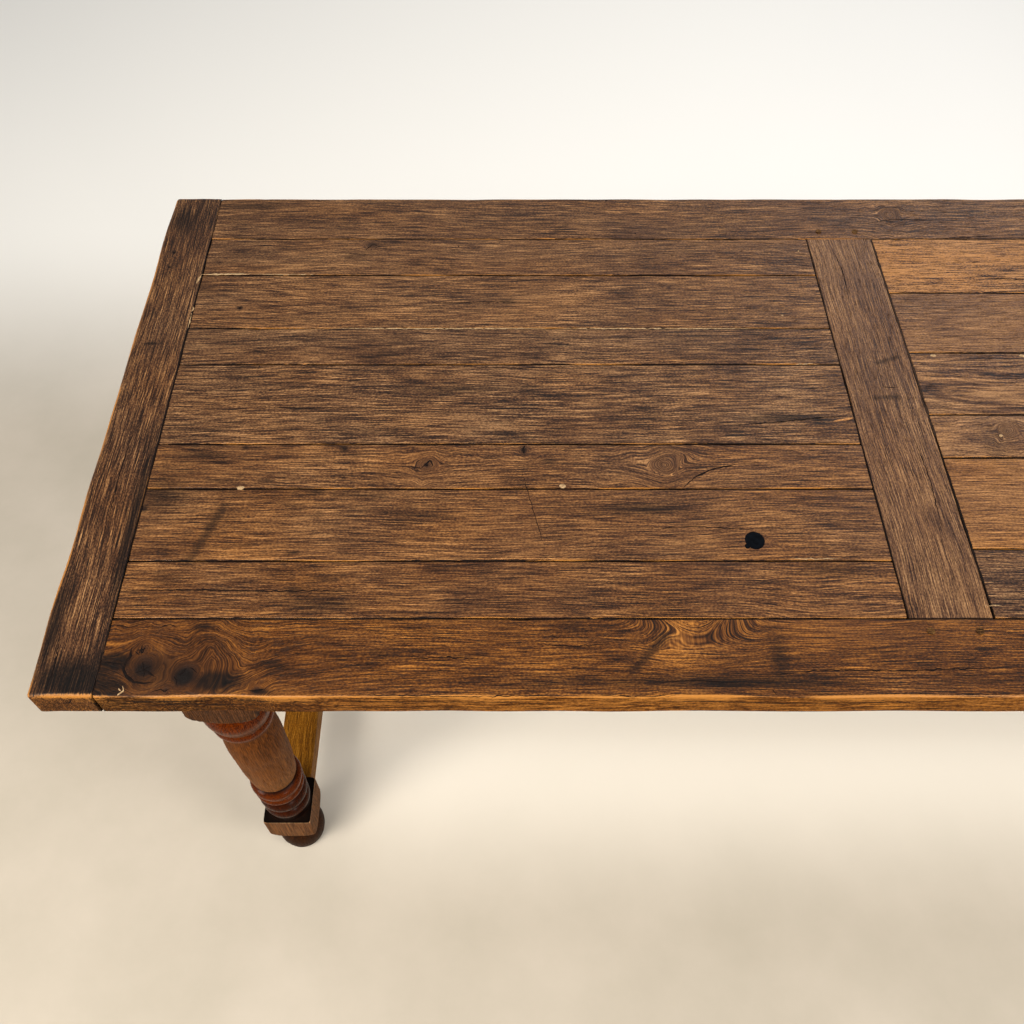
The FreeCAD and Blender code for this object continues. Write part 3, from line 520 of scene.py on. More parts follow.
# %% The mesh of one board
def board_mesh(name, low, high, lengthways, radii, step, shape):
    """A closed board. radii are those of the edges at the start, end, near and far side.
    shape moves the points, given places along, across and up, and the sizes."""
    size = Vector(high) - Vector(low)
    length, width = (size.x, size.y) if lengthways else (size.y, size.x)
    thick = size.z
    start, end, near, far = radii
    s_lines = lines_between(length, start, end, step)
    t_lines = lines_between(width, near, far, step)
    radii_met = {min(radii), max(radii)}
    drops = sorted({round(float(radius * turn), 6) for radius in radii_met for turn in TURNS})
    levels = [thick - drop for drop in drops] + [0.5 * thick, 0.0]
    ns, nt = len(s_lines), len(t_lines)
    s_top, t_top = (grid.ravel() for grid in np.meshgrid(s_lines, t_lines, indexing="ij"))
    rim = [(i, 0) for i in range(ns)] + [(ns - 1, j) for j in range(1, nt)]
    rim += [(i, nt - 1) for i in range(ns - 2, -1, -1)] + [(0, j) for j in range(nt - 2, 0, -1)]
    rim_i, rim_j = np.array(rim).T
    s = np.concatenate([s_top] + [s_lines[rim_i]] * (len(levels) - 1))
    t = np.concatenate([t_top] + [t_lines[rim_j]] * (len(levels) - 1))
    rims = [np.full(len(rim), level) for level in levels[1:]]
    h = np.concatenate([np.full(ns * nt, thick)] + rims)

    # pull points near an edge onto its rounding
    end_radius = np.where(s < length / 2, start, end)
    side_radius = np.where(t < width / 2, near, far)
    to_end = np.minimum(s, length - s)
    to_side = np.minimum(t, width - t)
    top_radius = np.where(to_end / end_radius < to_side / side_radius, end_radius, side_radius)
    n_s = np.clip(1 - to_end / end_radius, 0, 1) * np.where(s < length / 2, -1, 1)
    n_t = np.clip(1 - to_side / side_radius, 0, 1) * np.where(t < width / 2, -1, 1)
    n_h = np.clip(1 - (thick - h) / top_radius, 0, 1)
    norm = np.maximum(1, np.sqrt(n_s**2 + n_t**2 + n_h**2))
    new_s = s + end_radius * (n_s / norm - n_s)
    new_t = t + side_radius * (n_t / norm - n_t)
    new_h = h + top_radius * (n_h / norm - n_h)

    new_s, new_t, new_h = shape(new_s, new_t, new_h, length, width, thick)
    if lengthways:
        x, y = low[0] + new_s, low[1] + new_t
    else:
        x, y = high[0] - new_t, low[1] + new_s
    points = np.stack([x, y, low[2] + new_h], axis=1)

    top_id = np.arange(ns * nt).reshape(ns, nt)
    corners = [top_id[:-1, :-1], top_id[1:, :-1], top_id[1:, 1:], top_id[:-1, 1:]]
    faces = np.stack(corners, -1).reshape(-1, 4).tolist()
    rings = [top_id[rim_i, rim_j]]
    for level in range(1, len(levels)):
        rings.append(ns * nt + (level - 1) * len(rim) + np.arange(len(rim)))
    for upper, lower in zip(rings, rings[1:]):
        faces += np.stack([lower, np.roll(lower, -1), np.roll(upper, -1), upper], -1).tolist()
    last = rings[-1]
    at = {place: int(last[k]) for k, place in enumerate(rim)}
    # the underside, in strips between two lines across
    for i in range(ns - 1):
        ahead, back = range(nt), range(nt - 1, -1, -1)
        left = [at[0, j] for j in ahead] if i == 0 else [at[i, 0], at[i, nt - 1]]
        last_strip = i == ns - 2
        right = [at[ns - 1, j] for j in back] if last_strip else [at[i + 1, nt - 1], at[i + 1, 0]]
        faces.append(left + right)
    mesh = bpy.data.meshes.new(name)
    mesh.from_pydata(points.tolist(), [], faces)
    return mesh, (s, t, h)


print("board maker ready")


# %% Finish a piece
SHARP = math.radians(38)
FULL_BY_DEFAULT = ("bold", "figure")


def show(name, mesh, nodes=()):
    """Puts a mesh in the scene as a piece of the one body, in the place of some solids."""
    piece = into_scene(name, mesh)
    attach(piece, "root")
    if nodes:
        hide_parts(*nodes)
    return piece


def finish_piece(name, mesh, material, nodes=(), dull=None, is_dull=None):
    """Smooth faces, sharp corners, the material and the marks that a piece doesn't carry yet.
    The faces for which is_dull is true, given their middles and normals, are left dull."""
    mesh.shade_smooth()
    mesh.set_sharp_from_angle(angle=SHARP)
    mesh.materials.clear()
    mesh.materials.append(material)
    if dull:
        mesh.materials.append(dull)
        middles, normals = (np.empty(len(mesh.polygons) * 3, np.float32) for _ in range(2))
        mesh.polygons.foreach_get("center", middles)
        mesh.polygons.foreach_get("normal", normals)
        which = is_dull(middles.reshape(-1, 3), normals.reshape(-1, 3))
        mesh.polygons.foreach_set("material_index", which.astype(np.int32))
    for mark in MARKS:
        if mark not in mesh.attributes:
            store(mesh, mark, np.full(len(mesh.vertices), float(mark in FULL_BY_DEFAULT)))
    return show(name, mesh, nodes)


print("sharp from", round(math.degrees(SHARP)), "degrees")

# %% [markdown]
# ## The boards of the top
# Each board gets the facts that the photograph shows: how dark it is, where the heart of
# the tree lay (to the side gives straight streaks, underneath gives arches), its knots,
# and the patches of dirt. Tongues, tenons and grooves are inside the joints, so a board is
# drawn to its shoulders, and a strip stands for the tongue that closes each joint, painted
# black as the shade inside the joint.

# %% Facts of the boards
TONGUE = 0.009
TENON = 0.046
# node: tone, warmth of the stain, heart across as a share of the width, heart depth in m,
# slope of the grain, how bold the grain is and how strong the figure
BOARDS = {
    "end_board_left": (-0.095, 0.2, 1.9, -0.02, 0.006, 0.85, 0.6),
    "end_board_right": (-0.07, 0.2, -0.9, -0.03, 0.008, 0.85, 1.0),
    "front_rail": (-0.055, 1.0, 0.55, -0.030, 0.004, 0.82, 1.2),
    "back_rail": (-0.045, 0.22, -0.8, -0.05, 0.010, 0.85, 1.0),
    "cross_rail": (-0.01, 0.04, -1.1, -0.04, -0.014, 0.6, 0.4),
    "left_plank_1": (-0.033, 0.55, 2.2, -0.06, 0.010, 0.76, 1.4),
    "left_plank_2": (-0.012, 0.46, -0.6, -0.05, -0.006, 0.8, 0.9),
    "left_plank_3": (-0.032, 0.42, 1.4, -0.05, 0.010, 0.85, 1.2),
    "left_plank_4": (-0.04, 0.15, 1.7, -0.06, -0.012, 1.0, 1.2),
    "left_plank_5": (-0.045, 0.08, -1.0, -0.07, 0.006, 0.9, 0.8),
    "left_plank_6": (-0.012, 0.25, 1.8, -0.05, 0.012, 0.88, 1.1),
    "left_plank_7": (-0.025, 0.2, -0.7, -0.06, 0.008, 0.78, 0.9),
    "right_plank_1": (-0.09, 0.0, 1.8, -0.05, 0.010, 1.0, 1.2),
    "right_plank_2": (0.085, 0.54, -0.8, -0.06, 0.006, 0.68, 0.9),
    "right_plank_3": (0.065, 0.18, 0.5, -0.05, 0.010, 0.8, 1.0),
    "right_plank_4": (-0.015, 0.18, 0.4, -0.04, -0.010, 0.75, 3.4),
    "right_plank_5": (0.02, 0.25, -0.6, -0.06, 0.012, 0.6, 0.8),
    "right_plank_6": (0.16, 0.6, 1.9, -0.06, 0.008, 1.45, 1.2),
}
# All the marks of the top were measured on the table, in mm from its middle.
# knots: x, y, radius, and how dark
KNOTS = (
    (-879, -377, 15, 0.75), (-834, -388, 12, 1.0), (-852, -405, 4, 0.8), (-757, -405, 5, 0.7),
    (-884, -357, 5, 0.6), (-590, -106, 9, 0.7), (-297, -106, 15, 0.25), (-692, 302, 6, 0.6),
    (88, 371, 12, 0.35), (140, -52, 10, 0.5), (612, -310, 11, 0.8), (420, 130, 9, 0.6),
    (760, 372, 10, 0.6), (560, -388, 12, 0.7), (-471, -81, 4, 1.0),
)
# soot: x, y, half length, half width and strength
SOOT = (
    (-950, -392, 55, 30, 0.85), (-990, -330, 14, 90, 0.6), (-934, -180, 8, 160, 0.7),
    (-865, -384, 80, 30, 0.5), (-914, -373, 20, 12, 1.15), (-917, -403, 24, 12, 1.15),
    (-799, -395, 34, 14, 1.0), (-836, -390, 13, 13, 1.0), (-880, -382, 12, 10, 0.95),
    (-825, -330, 16, 7, 0.7), (-752, -407, 12, 4, 0.9), (-628, -363, 26, 6, 0.5),
    (-198, -372, 14, 38, 0.6), (-905, -150, 38, 34, 0.6), (-330, -172, 90, 10, 0.6),
    (-870, -92, 40, 14, 0.5), (-130, -30, 70, 8, 0.6), (-420, -330, 26, 12, 0.5),
    (-250, -396, 160, 8, 0.7), (200, -392, 260, 10, 0.5), (-700, -300, 60, 22, 0.5),
    (-300, -395, 260, 12, 0.5), (-120, -255, 70, 16, 0.5), (-975, 360, 26, 40, 0.6),
    (-880, 392, 60, 10, 0.5), (120, -70, 30, 60, 0.4), (700, -380, 90, 20, 0.5),
    (940, -250, 20, 120, 0.6), (500, 60, 90, 14, 0.5), (-560, 20, 120, 10, 0.5),
    (-600, -180, 60, 16, 0.45), (-817, -78, 6, 4, 0.8), (-694, -80, 6, 6, 0.7),
    (-470, -82, 6, 7, 0.7), (-691, -125, 5, 3, 0.6), (-863, 171, 6, 4, 0.9),
    (-490, 184, 16, 8, 0.5), (-686, 305, 19, 10, 0.5), (-743, 252, 6, 4, 0.5),
    (-723, -146, 20, 6, 0.6), (-739, -233, 11, 3, 0.7), (-879, -269, 22, 11, 0.4),
    (-733, -284, 15, 9, 0.55), (-698, -269, 26, 8, 0.4), (-971, 102, 12, 4, 0.7),
    (-978, 287, 4, 4, 0.9), (-978, 255, 4, 3, 0.8), (-824, -176, 23, 13, 0.35),
    (-715, -178, 9, 6, 0.45), (-768, -220, 8, 9, 0.35), (-438, -100, 12, 9, 0.5),
    (-486, -125, 16, 7, 0.4), (-708, 280, 28, 17, 0.4), (-920, 211, 19, 27, 0.45),
    (-973, -47, 7, 6, 0.4), (-840, -130, 28, 7, 0.45), (-784, -130, 16, 6, 0.55),
    (-656, 77, 88, 7, 0.35), (-494, 30, 85, 11, 0.3), (-469, 13, 51, 8, 0.35),
    (-758, -15, 50, 4, 0.4), (-926, -171, 9, 7, 0.8), (-909, -286, 22, 5, 0.4),
    (-420, -282, 22, 6, 0.35), (-555, -229, 23, 3, 0.4), (-505, -234, 22, 4, 0.35),
)
# smears across the grain, from x, y to x, y, half width and strength
SMEARS = (
    (-830, -170, -856, -243, 9, 0.55), (-319, -342, -357, -383, 8, 0.6),
    (3, 66, 31, 77, 5, 0.6), (-15, 4, 14, 6, 6, 0.6), (-700, -150, -640, -152, 8, 0.5),
    (-690, -180, -655, -176, 9, 0.35), (-752, -165, -738, -168, 9, 0.4),
    (-420, 330, -400, 352, 9, 0.4),
)
# arches and ovals of the year rings: x, y, half length, half width and height
ARCHES = (
    (-868, -384, 150, 58, 42), (-105, -322, 110, 36, 20), (520, -350, 180, 30, 30),
    (330, -372, 120, 26, -22), (-480, -420, 190, 30, 18), (-280, -108, 80, 22, 14),
    (-590, -110, 90, 20, 10), (170, 30, 120, 30, 34), (-420, -20, 160, 50, 14),
    (-700, 60, 180, 50, -12), (-500, 210, 220, 40, 12), (-150, 280, 150, 30, -12),
    (600, 120, 200, 36, 24), (560, -200, 160, 34, -20), (-300, 372, 220, 28, 16),
    (420, 380, 200, 26, -16),
)
# curly grain, where the lines run in rings round a point: x, y and reach, and 0 where only
# the far side of the point has them
RIPPLES = {"front_rail": ((-840, -384, 112, 0), (-286, -288, 116, 9))}
print(len(BOARDS), "boards,", len(KNOTS), "knots,", len(SOOT), "stains")


# %% Soft strokes and spots
def smear(x, y, rows):
    """The strongest of some soft strokes at each place."""
    total = np.zeros_like(x)
    for x0, y0, x1, y1, half_width, strength in rows:
        start, run = np.array((x0, y0)) * MM, np.array((x1 - x0, y1 - y0)) * MM
        share = ((x - start[0]) * run[0] + (y - start[1]) * run[1]) / (run @ run)
        share = np.clip(share, 0, 1)
        away = np.hypot(x - start[0] - share * run[0], y - start[1] - share * run[1])
        total = np.maximum(total, strength * bell(away, half_width * MM))
    return total


def spot(x, y, rows):
    """The strongest of some soft spots at each place."""
    total = np.zeros_like(x)
    for row in rows:
        middle_x, middle_y, half_x, half_y = (value * MM for value in row[:4])
        total = np.maximum(total, row[4] * bell(x - middle_x, half_x) * bell(y - middle_y, half_y))
    return total


KNOT_SPOTS, ROUND_KNOTS = (
    [(x, y, size * radius, size * radius, dark) for x, y, radius, dark in KNOTS]
    for size in (1, 2.2)
)
middle = np.zeros(1)
print("soot in the middle of the top:", np.round(spot(middle, middle, SOOT), 3))


# %% The places and edges of the boards
def visible_part(node):
    """A board's corners without its tongues and tenons."""
    low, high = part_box(node)
    if node in ("front_rail", "back_rail"):
        low.x += TENON
        high.x -= TENON
    if node == "cross_rail":
        low.y += TENON
        high.y -= TENON
    if "plank" in node:
        low.x += TONGUE
        high.x -= TONGUE
    if "plank" in node or node == "back_rail":
        low.y += TONGUE
    return low, high


ARRIS = 0.0014
WORN = 0.0052
CORNER = 0.0085
STEP = 0.003
# pegs stand this far proud of the faces round them, which shrank more than the pegs did
PROUD = 0.00015
# points lower than this are on the underside
UNDERSIDE = 0.0001
# the outer edges of each kind of board: start, end, near side, far side
RADII = {
    "end_board_left": (WORN, WORN, ARRIS, CORNER * 0.7),
    "end_board_right": (WORN, WORN, CORNER * 0.7, ARRIS),
    "front_rail": (ARRIS, ARRIS, 0.6 * WORN, ARRIS),
    "back_rail": (ARRIS, ARRIS, ARRIS, WORN),
}
START, END, NEAR, FAR = range(4)


def is_foot(h):
    """True on the underside, which is drawn up so that the pegs' ends show."""
    return h < UNDERSIDE


# the deepest wear of an outer and of an inner edge: start, end, near side, far side
OUTER_WEAR = (0.0005, 0.0005, 0.0006, 0.0010)
INNER_WEAR = (0.0003, 0.0003, 0.0004, 0.0004)


def worn_by(seed, outer, step_down):
    """The wear of one board, as a function that moves its points: sides and ends eaten in
    waves, a top that sagged and cupped, nicks along its edges, and a small step down."""

    def wear(s, t, h, length, width, thick):
        kinds = ((300, 0.05, t), (400, 0.05, t), (100, 0.16, s), (200, 0.16, s))
        start, end, near, far = (
            (OUTER_WEAR if outer[side] else INNER_WEAR)[side]
            * np.maximum(0, 1 + waves(seed + step, size, places))
            for side, (step, size, places) in enumerate(kinds)
        )
        t = t + near * fade(t, 0.4 * width) - far * fade(width - t, 0.4 * width)
        s = s + start * fade(s, 0.02) - end * fade(length - s, 0.02)
        sag = 0.00025 * np.maximum(0, 1.2 + waves(seed + 500, 0.35, s, t))
        sag += 0.00010 * np.maximum(0, 1 + waves(seed + 600, 0.05, s * 0.4, t))
        cup = 0.0005 * (2 * t / width - 1) ** 2
        by_edge = fade(t, 0.006) + fade(width - t, 0.006)
        nick = 0.0010 * np.clip(waves(seed + 700, 0.03, s, t) - 0.55, 0, 1) * by_edge
        up = np.clip(h / thick, 0, 1)
        return s, t, h - (sag + cup + nick + step_down) * up**6 + PROUD * is_foot(h)

    return wear


print("a rail's upper edges:", [round(radius / MM, 2) for radius in RADII["front_rail"]], "mm")


# %% Rubbed edges, and joints dark with dirt and painted shade
# a point this near a side and this far below the top is on an upright face
BY_SIDE, BELOW_TOP = 0.002, 0.0007
FACE_RUB = 0.30
# how far the dirt and painted shade reach from a joint, and from the tighter joints of the cross
# rail
DIRT_AND_SHADE_REACH, TIGHT_REACH = 0.0013, 0.0007


def rub_dirt_and_shade(seed, s, t, down, width, outer, lengthways, dirt_and_shade_reach):
    """How rubbed the edges of a board are, how dark with dirt and painted shade, and which
    points are on its upright faces. Outer edges are rubbed bare; the sides inside a joint are
    painted black as its shade, and the edges along it hold dirt and painted shade."""
    distances = (s, s.max() - s, t, width - t)
    on_face = [(away < BY_SIDE) & (down > BELOW_TOP) for away in distances]
    rub, dirt_and_shade = np.zeros(len(s)), np.zeros(len(s))
    for side, (away, is_outer) in enumerate(zip(distances, outer)):
        at_end = side in (START, END)
        if is_outer:
            reach = 0.0026 if side == NEAR else 0.0045
            strength = 0.8 if at_end and not lengthways else 1.0
            rub = np.maximum(rub, FACE_RUB * on_face[side])
        else:
            reach = 0.0009
            strength = 0.2 if side == FAR else 1.0
            strength = 0.1 if at_end else strength if lengthways else 0.45
            # painted shade: the sides inside a joint are black all over, for the dark of the narrow
            # gap
            dirt_and_shade = np.maximum(dirt_and_shade, 1.0 * on_face[side])
            # the band along a joint's edge holds dirt and the painted shade of the gap
            if side == FAR or not lengthways:
                dirt_and_shade = np.maximum(dirt_and_shade, 0.95 * bell(away + down, dirt_and_shade_reach))
        uneven = 0.75 + 0.5 * waves(seed + 800 + side, 0.14, t if at_end else s)
        rubbed = strength * np.clip(uneven, 0, 1) * bell(away + 0.6 * down, reach)
        rub = np.maximum(rub, rubbed)
    return rub, dirt_and_shade, on_face


def is_upright(middles, normals):
    """Which faces of a board are its sides and ends."""
    return np.abs(normals[:, 2]) < 0.5


print("rub and dirt ready")

# %% Build the boards
top_pieces = []
for seed, (node, facts) in enumerate(BOARDS.items(), start=11):
    tone, warmth, heart_share, heart_depth, slope, boldness, figure = facts
    low, high = visible_part(node)
    lengthways = not (node.startswith("end_board") or node == "cross_rail")
    radii = RADII.get(node, (ARRIS,) * 4)
    outer = [radius > 2 * ARRIS for radius in radii]
    step_down = np.random.default_rng(seed).uniform(0, 0.0005)
    mesh, (s, t, h) = board_mesh(
        node, low, high, lengthways, radii, STEP, worn_by(seed, outer, step_down)
    )
    width = (high.y - low.y) if lengthways else (high.x - low.x)
    x, y, _ = places_of(mesh).T

    def local(px, py):
        """A place in mm from the middle of the table, along and across this board."""
        px, py = px * MM, py * MM
        return (px - low.x, py - low.y) if lengthways else (py - low.y, high.x - px)

    def holds(px, py, beyond=0.004):
        """True for a place on this board or just beside it."""
        inside_x = low.x - beyond < px * MM < high.x + beyond
        return inside_x and low.y - beyond < py * MM < high.y + beyond

    arched = store_grain(
        mesh, seed, s, t, h, (heart_share * width, heart_depth), slope,
        knots=[(*local(px, py), radius * MM) for px, py, radius, _ in KNOTS if holds(px, py)],
        bulges=[
            (*local(px, py), *(size * MM for size in sizes))
            for px, py, *sizes in ARCHES if holds(px, py)
        ],
        ripples=[
            (*local(px, py), reach * MM, both) for px, py, reach, both in RIPPLES.get(node, ())
        ],
    )
    reach = TIGHT_REACH if node == "cross_rail" else DIRT_AND_SHADE_REACH
    down = h.max() - h
    rub, dirt_and_shade, on_face = rub_dirt_and_shade(seed, s, t, down, width, outer, lengthways, reach)
    front, end_face = on_face[NEAR] & outer[NEAR], on_face[START] & (not lengthways)
    patches = 0.030 * waves(seed + 950, 0.22, s, 2 * t)
    golden = 0.05 * bell(np.minimum(t, width - t), 0.010) * np.clip(waves(seed + 900, 0.3, s), 0, 1)
    # the front of the table is lighter to the right
    to_right = 0.10 * np.clip((x + 0.67) / 0.09, -1, 1) - 0.03 * np.clip((-0.62 - x) / 0.2, 0, 1)
    face_tone = np.where(front | on_face[NEAR] & (not lengthways), to_right, 0) + 0.03 * end_face
    blots = np.clip(1.2 * (waves(seed + 970, 0.06, s * 0.4, t) - 0.5), 0, 0.6)
    by_knot = spot(x, y, ROUND_KNOTS)
    # dirt lies on the top and less on the upright faces
    stains = spot(x, y, SOOT) * np.where(front | on_face[START] & outer[START], 0.35, 1)
    darker = -0.08 * blots - 0.05 * stains - 0.04 * by_knot
    store(mesh, "tone", tone + patches + golden + face_tone + darker)
    warmer = 0.12 * waves(seed + 960, 0.2, s, 3 * t) + 0.8 * front + 0.4 * end_face
    store(mesh, "warm", np.clip(warmth + warmer, 0, 1))
    # round a knot and in curly grain the figure takes over from the fibres
    calm = 0.9 * (1 - 0.35 * arched * (node in RIPPLES)) * (1 - 0.6 * by_knot)
    store(mesh, "bold", calm * boldness * (1 + 0.15 * waves(seed + 980, 0.15, s, t)))
    uneven = np.clip(1 + 0.4 * waves(seed + 990, 0.25, s, 2 * t), 0.3, 2)
    store(mesh, "figure", figure * uneven + 1.6 * arched * (1 - by_knot))
    store(mesh, "knot", spot(x, y, KNOT_SPOTS))
    # stains, smears and blots are dirt; the joints bring dirt and painted shade
    store(mesh, "soot_and_shade", np.max([stains, smear(x, y, SMEARS), dirt_and_shade, 0.28 * blots], axis=0))
    store(mesh, "rub", rub)
    store(mesh, "polish", 0.7 * np.clip(rub, 0, 1))
    name = f"worn_{node}"
    top_pieces.append(
        finish_piece(name, mesh, top_oak, [node], dull_edge_oak, is_upright)
    )
print(len(top_pieces), "boards,", sum(len(p.data.polygons) for p in top_pieces), "faces")

# %% [markdown]
# ## Turned legs
# A turned leg is a rule: a half profile spun about its axis, cut flat where the square
# blocks stay. Geometry Nodes follow the rule directly. A grid has one row for each point of
# the profile and one column for each step round the axis; every point goes to its radius,
# and in the blocks the radius is capped by a square with slightly soft corners. The
# rounded pommels then come by themselves, where the spun shoulder meets the flats.

# %% Profile of the leg
# height and radius in mm from the top down, and how far each run bows out, as a share of it
PROFILE = (
    (722, 0, 0), (722, 63.6, 0), (603, 63.6, 0.20), (562, 40.5, 0), (558, 38.6, 0),
    (556, 37.4, 0.16), (522, 44.2, 0.2), (514.5, 38.8, 0), (513.5, 41.2, 0), (509, 41.2, 0),
    (508, 38.4, 0.21), (488, 38.2, 0), (487, 38.8, 0), (483.5, 38.4, -0.12), (479, 36.2, 0),
    (476, 36.0, 0.025), (385, 39.0, 0.012), (284, 34.6, 0.15), (282.5, 33.8, 0), (281, 31.6, 0),
    (273, 31.4, 0), (271, 33.4, 0.27), (249, 33.8, 0), (248, 36.4, 0), (245.5, 36.4, 0),
    (244.5, 34.2, 0.27), (228.5, 34.2, 0), (227.5, 35.4, 0), (225.5, 35.2, 0), (223, 31.4, 0),
    (217.5, 30.8, 0.26), (190, 31.0, 0), (188.5, 31.0, 0), (185, 31.0, 0), (184, 31.0, 0.24),
    (159, 31.2, 0), (157, 31.8, 0), (150, 34.0, 0), (147, 35.4, 0), (147, 49.8, 0),
    (145.6, 52.2, 0), (143, 53.4, 0), (96, 53.4, 0.2), (76, 34.6, 0), (73, 33.0, -0.2),
    (64, 28.4, 0.12), (12, 35.8, 0.14), (0, 30.4, 0), (0, 0, 0),
)


def bowed(start, end, bow, steps=10):
    """Points from the start, up to but not including the end, on an arc of a circle whose
    middle stands out by bow times the chord."""
    (z0, r0), (z1, r1) = start, end
    if not bow:
        return [(z0, r0)]
    half_turn = 2 * math.atan(2 * bow)
    chord = 2 * math.sin(half_turn)
    made = []
    for turn in np.linspace(-half_turn, half_turn, steps + 1)[:-1]:
        share = (math.sin(turn) + math.sin(half_turn)) / chord
        swell = (math.cos(turn) - math.cos(half_turn)) / chord
        z = z0 + share * (z1 - z0) + swell * (r1 - r0)
        made.append((z, r0 + share * (r1 - r0) + swell * (z0 - z1)))
    return made


profile = []
for (z0, r0, bow), (z1, r1, _) in zip(PROFILE, PROFILE[1:]):
    profile += bowed((z0, r0), (z1, r1), bow)
profile.append(PROFILE[-1][:2])
print("profile of", len(profile), "points, widest", round(max(r for _, r in profile), 1), "mm")

# %% [markdown]
# ## Trees with named inputs
# A Geometry Nodes tree takes its sizes from named inputs, so that one tree serves for many
# pieces. It ends with real faces and their material, because an export drops instances.
# The result becomes a plain mesh, and nothing is left of the modifier that made it.


# %% Start, end and run a tree
def new_tree(name, output, **inputs):
    """An empty tree and the sockets of its inputs, each given with its kind."""
    tree = bpy.data.node_groups.new(name, "GeometryNodeTree")
    for label, kind in inputs.items():
        label = label.replace("_", " ")
        tree.interface.new_socket(label, in_out="INPUT", socket_type="NodeSocket" + kind)
    tree.interface.new_socket(output, in_out="OUTPUT", socket_type="NodeSocketGeometry")
    return tree, add(tree, "NodeGroupInput").outputs


def end_tree(tree, shape, finish):
    """Makes the shape real, gives it its material and puts it out."""
    real = add(tree, "GeometryNodeRealizeInstances", {"Geometry": shape})
    finished = add(tree, "GeometryNodeSetMaterial", {"Geometry": real, "Material": finish})
    add(tree, "NodeGroupOutput", (finished,))
    print(tree.name, "tree:", len(tree.nodes), "nodes")


def run_tree(name, source, tree, **inputs):
    """The mesh that a tree makes from a source mesh."""
    holder = into_scene(name + "_source", source)
    modifier = holder.modifiers.new("tree", "NODES")
    modifier.node_group = tree
    items = [item for item in tree.interface.items_tree if item.in_out == "INPUT"]
    sockets = {item.name: item.identifier for item in items}
    for label, setting in inputs.items():
        modifier[sockets[label.replace("_", " ")]] = setting
    evaluated = holder.evaluated_get(bpy.context.evaluated_depsgraph_get())
    mesh = bpy.data.meshes.new_from_object(evaluated)
    mesh.name = name
    holder.modifiers.remove(modifier)
    bpy.data.objects.remove(holder)
    return mesh


def merge(work, distance=0.00001):
    """Joins points that lie in one place."""
    bmesh.ops.remove_doubles(work, verts=work.verts, dist=distance)


def outward(mesh):
    """Turns every face outwards."""
    work = bmesh.new()
    work.from_mesh(mesh)
    merge(work)
    bmesh.ops.recalc_face_normals(work, faces=work.faces)
    work.to_mesh(mesh)
    work.free()


print("tree helpers ready")

# %% The turning tree
turning, given = new_tree(
    "turned_leg", "Leg", Profile="Geometry", Steps_Round="Int", Axis="Vector",
    Upper_Half_Width="Float", Upper_Block_Bottom="Float", Lower_Half_Width="Float",
    Lower_Block_Top="Float", Lower_Block_Bottom="Float", Squareness="Float", Finish="Material",
)
# a sheet with one row for each point of the profile, and the row and column of each vertex
rows = add(turning, "GeometryNodeAttributeDomainSize", (given["Profile"],)).outputs["Point Count"]
columns = add(turning, MATH, (given["Steps Round"], 1.0), operation="ADD")
sheet = add(turning, "GeometryNodeMeshGrid", {"Vertices X": columns, "Vertices Y": rows})
index = add(turning, "GeometryNodeInputIndex")
row = add(turning, MATH, (index, rows), operation="FLOORED_MODULO")
inside_row = add(turning, MATH, (index, 0.5), operation="ADD")
column = add(turning, MATH, (inside_row, rows), operation="DIVIDE")
column = add(turning, MATH, (column,), operation="FLOOR")
# the point of the profile, and the angle round the axis
wanted = {
    "Geometry": given["Profile"], "Value": add(turning, "GeometryNodeInputPosition"), "Index": row,
}
point = add(turning, "GeometryNodeSampleIndex", wanted, data_type="FLOAT_VECTOR")
point = add(turning, PARTS, (point,)).outputs
angle = add(turning, MATH, (column, 2 * math.pi), operation="MULTIPLY")
angle = add(turning, MATH, (angle, given["Steps Round"]), operation="DIVIDE")
cosine = add(turning, MATH, (angle,), operation="COSINE")
sine = add(turning, MATH, (angle,), operation="SINE")
# a square with soft corners: the higher its power, the sharper they are
power = []
for side in (cosine, sine):
    side = add(turning, MATH, (side,), operation="ABSOLUTE")
    power.append(add(turning, MATH, (side, given["Squareness"]), operation="POWER"))
corner = add(turning, MATH, power, operation="ADD")
root = add(turning, MATH, (1.0, given["Squareness"]), operation="DIVIDE")
corner = add(turning, MATH, (corner, root), operation="POWER")
# the blocks cap the radius, and the turned part has a cap too wide to touch it
FAR_OUT = 1.0
in_upper = add(turning, MATH, (point["Z"], given["Upper Block Bottom"]), operation="GREATER_THAN")
above = add(turning, MATH, (point["Z"], given["Lower Block Bottom"]), operation="GREATER_THAN")
below = add(turning, MATH, (point["Z"], given["Lower Block Top"]), operation="LESS_THAN")
in_lower = add(turning, MATH, (above, below), operation="MULTIPLY")
half = add(turning, MATH, (1.0, in_upper), operation="SUBTRACT")
half = add(turning, MATH, (half, in_lower), operation="SUBTRACT")
half = add(turning, MATH, (half, FAR_OUT), operation="MULTIPLY")
for block, width in ((in_upper, given["Upper Half Width"]), (in_lower, given["Lower Half Width"])):
    half = add(turning, MATH, (block, width, half), operation="MULTIPLY_ADD")
cap = add(turning, MATH, (half, corner), operation="DIVIDE")
radius = add(turning, MATH, (point["X"], cap), operation="MINIMUM")
sides = [add(turning, MATH, (radius, way), operation="MULTIPLY") for way in (cosine, sine)]
spun = add(turning, "ShaderNodeCombineXYZ", (*sides, point["Z"]))
spun = add(turning, VECTOR_MATH, (spun, given["Axis"]), operation="ADD")
shaped = add(turning, "GeometryNodeSetPosition", {"Geometry": sheet, "Position": spun})
closed = add(turning, "GeometryNodeMergeByDistance", {"Geometry": shaped, "Distance": 0.00002})
end_tree(turning, closed, given["Finish"])

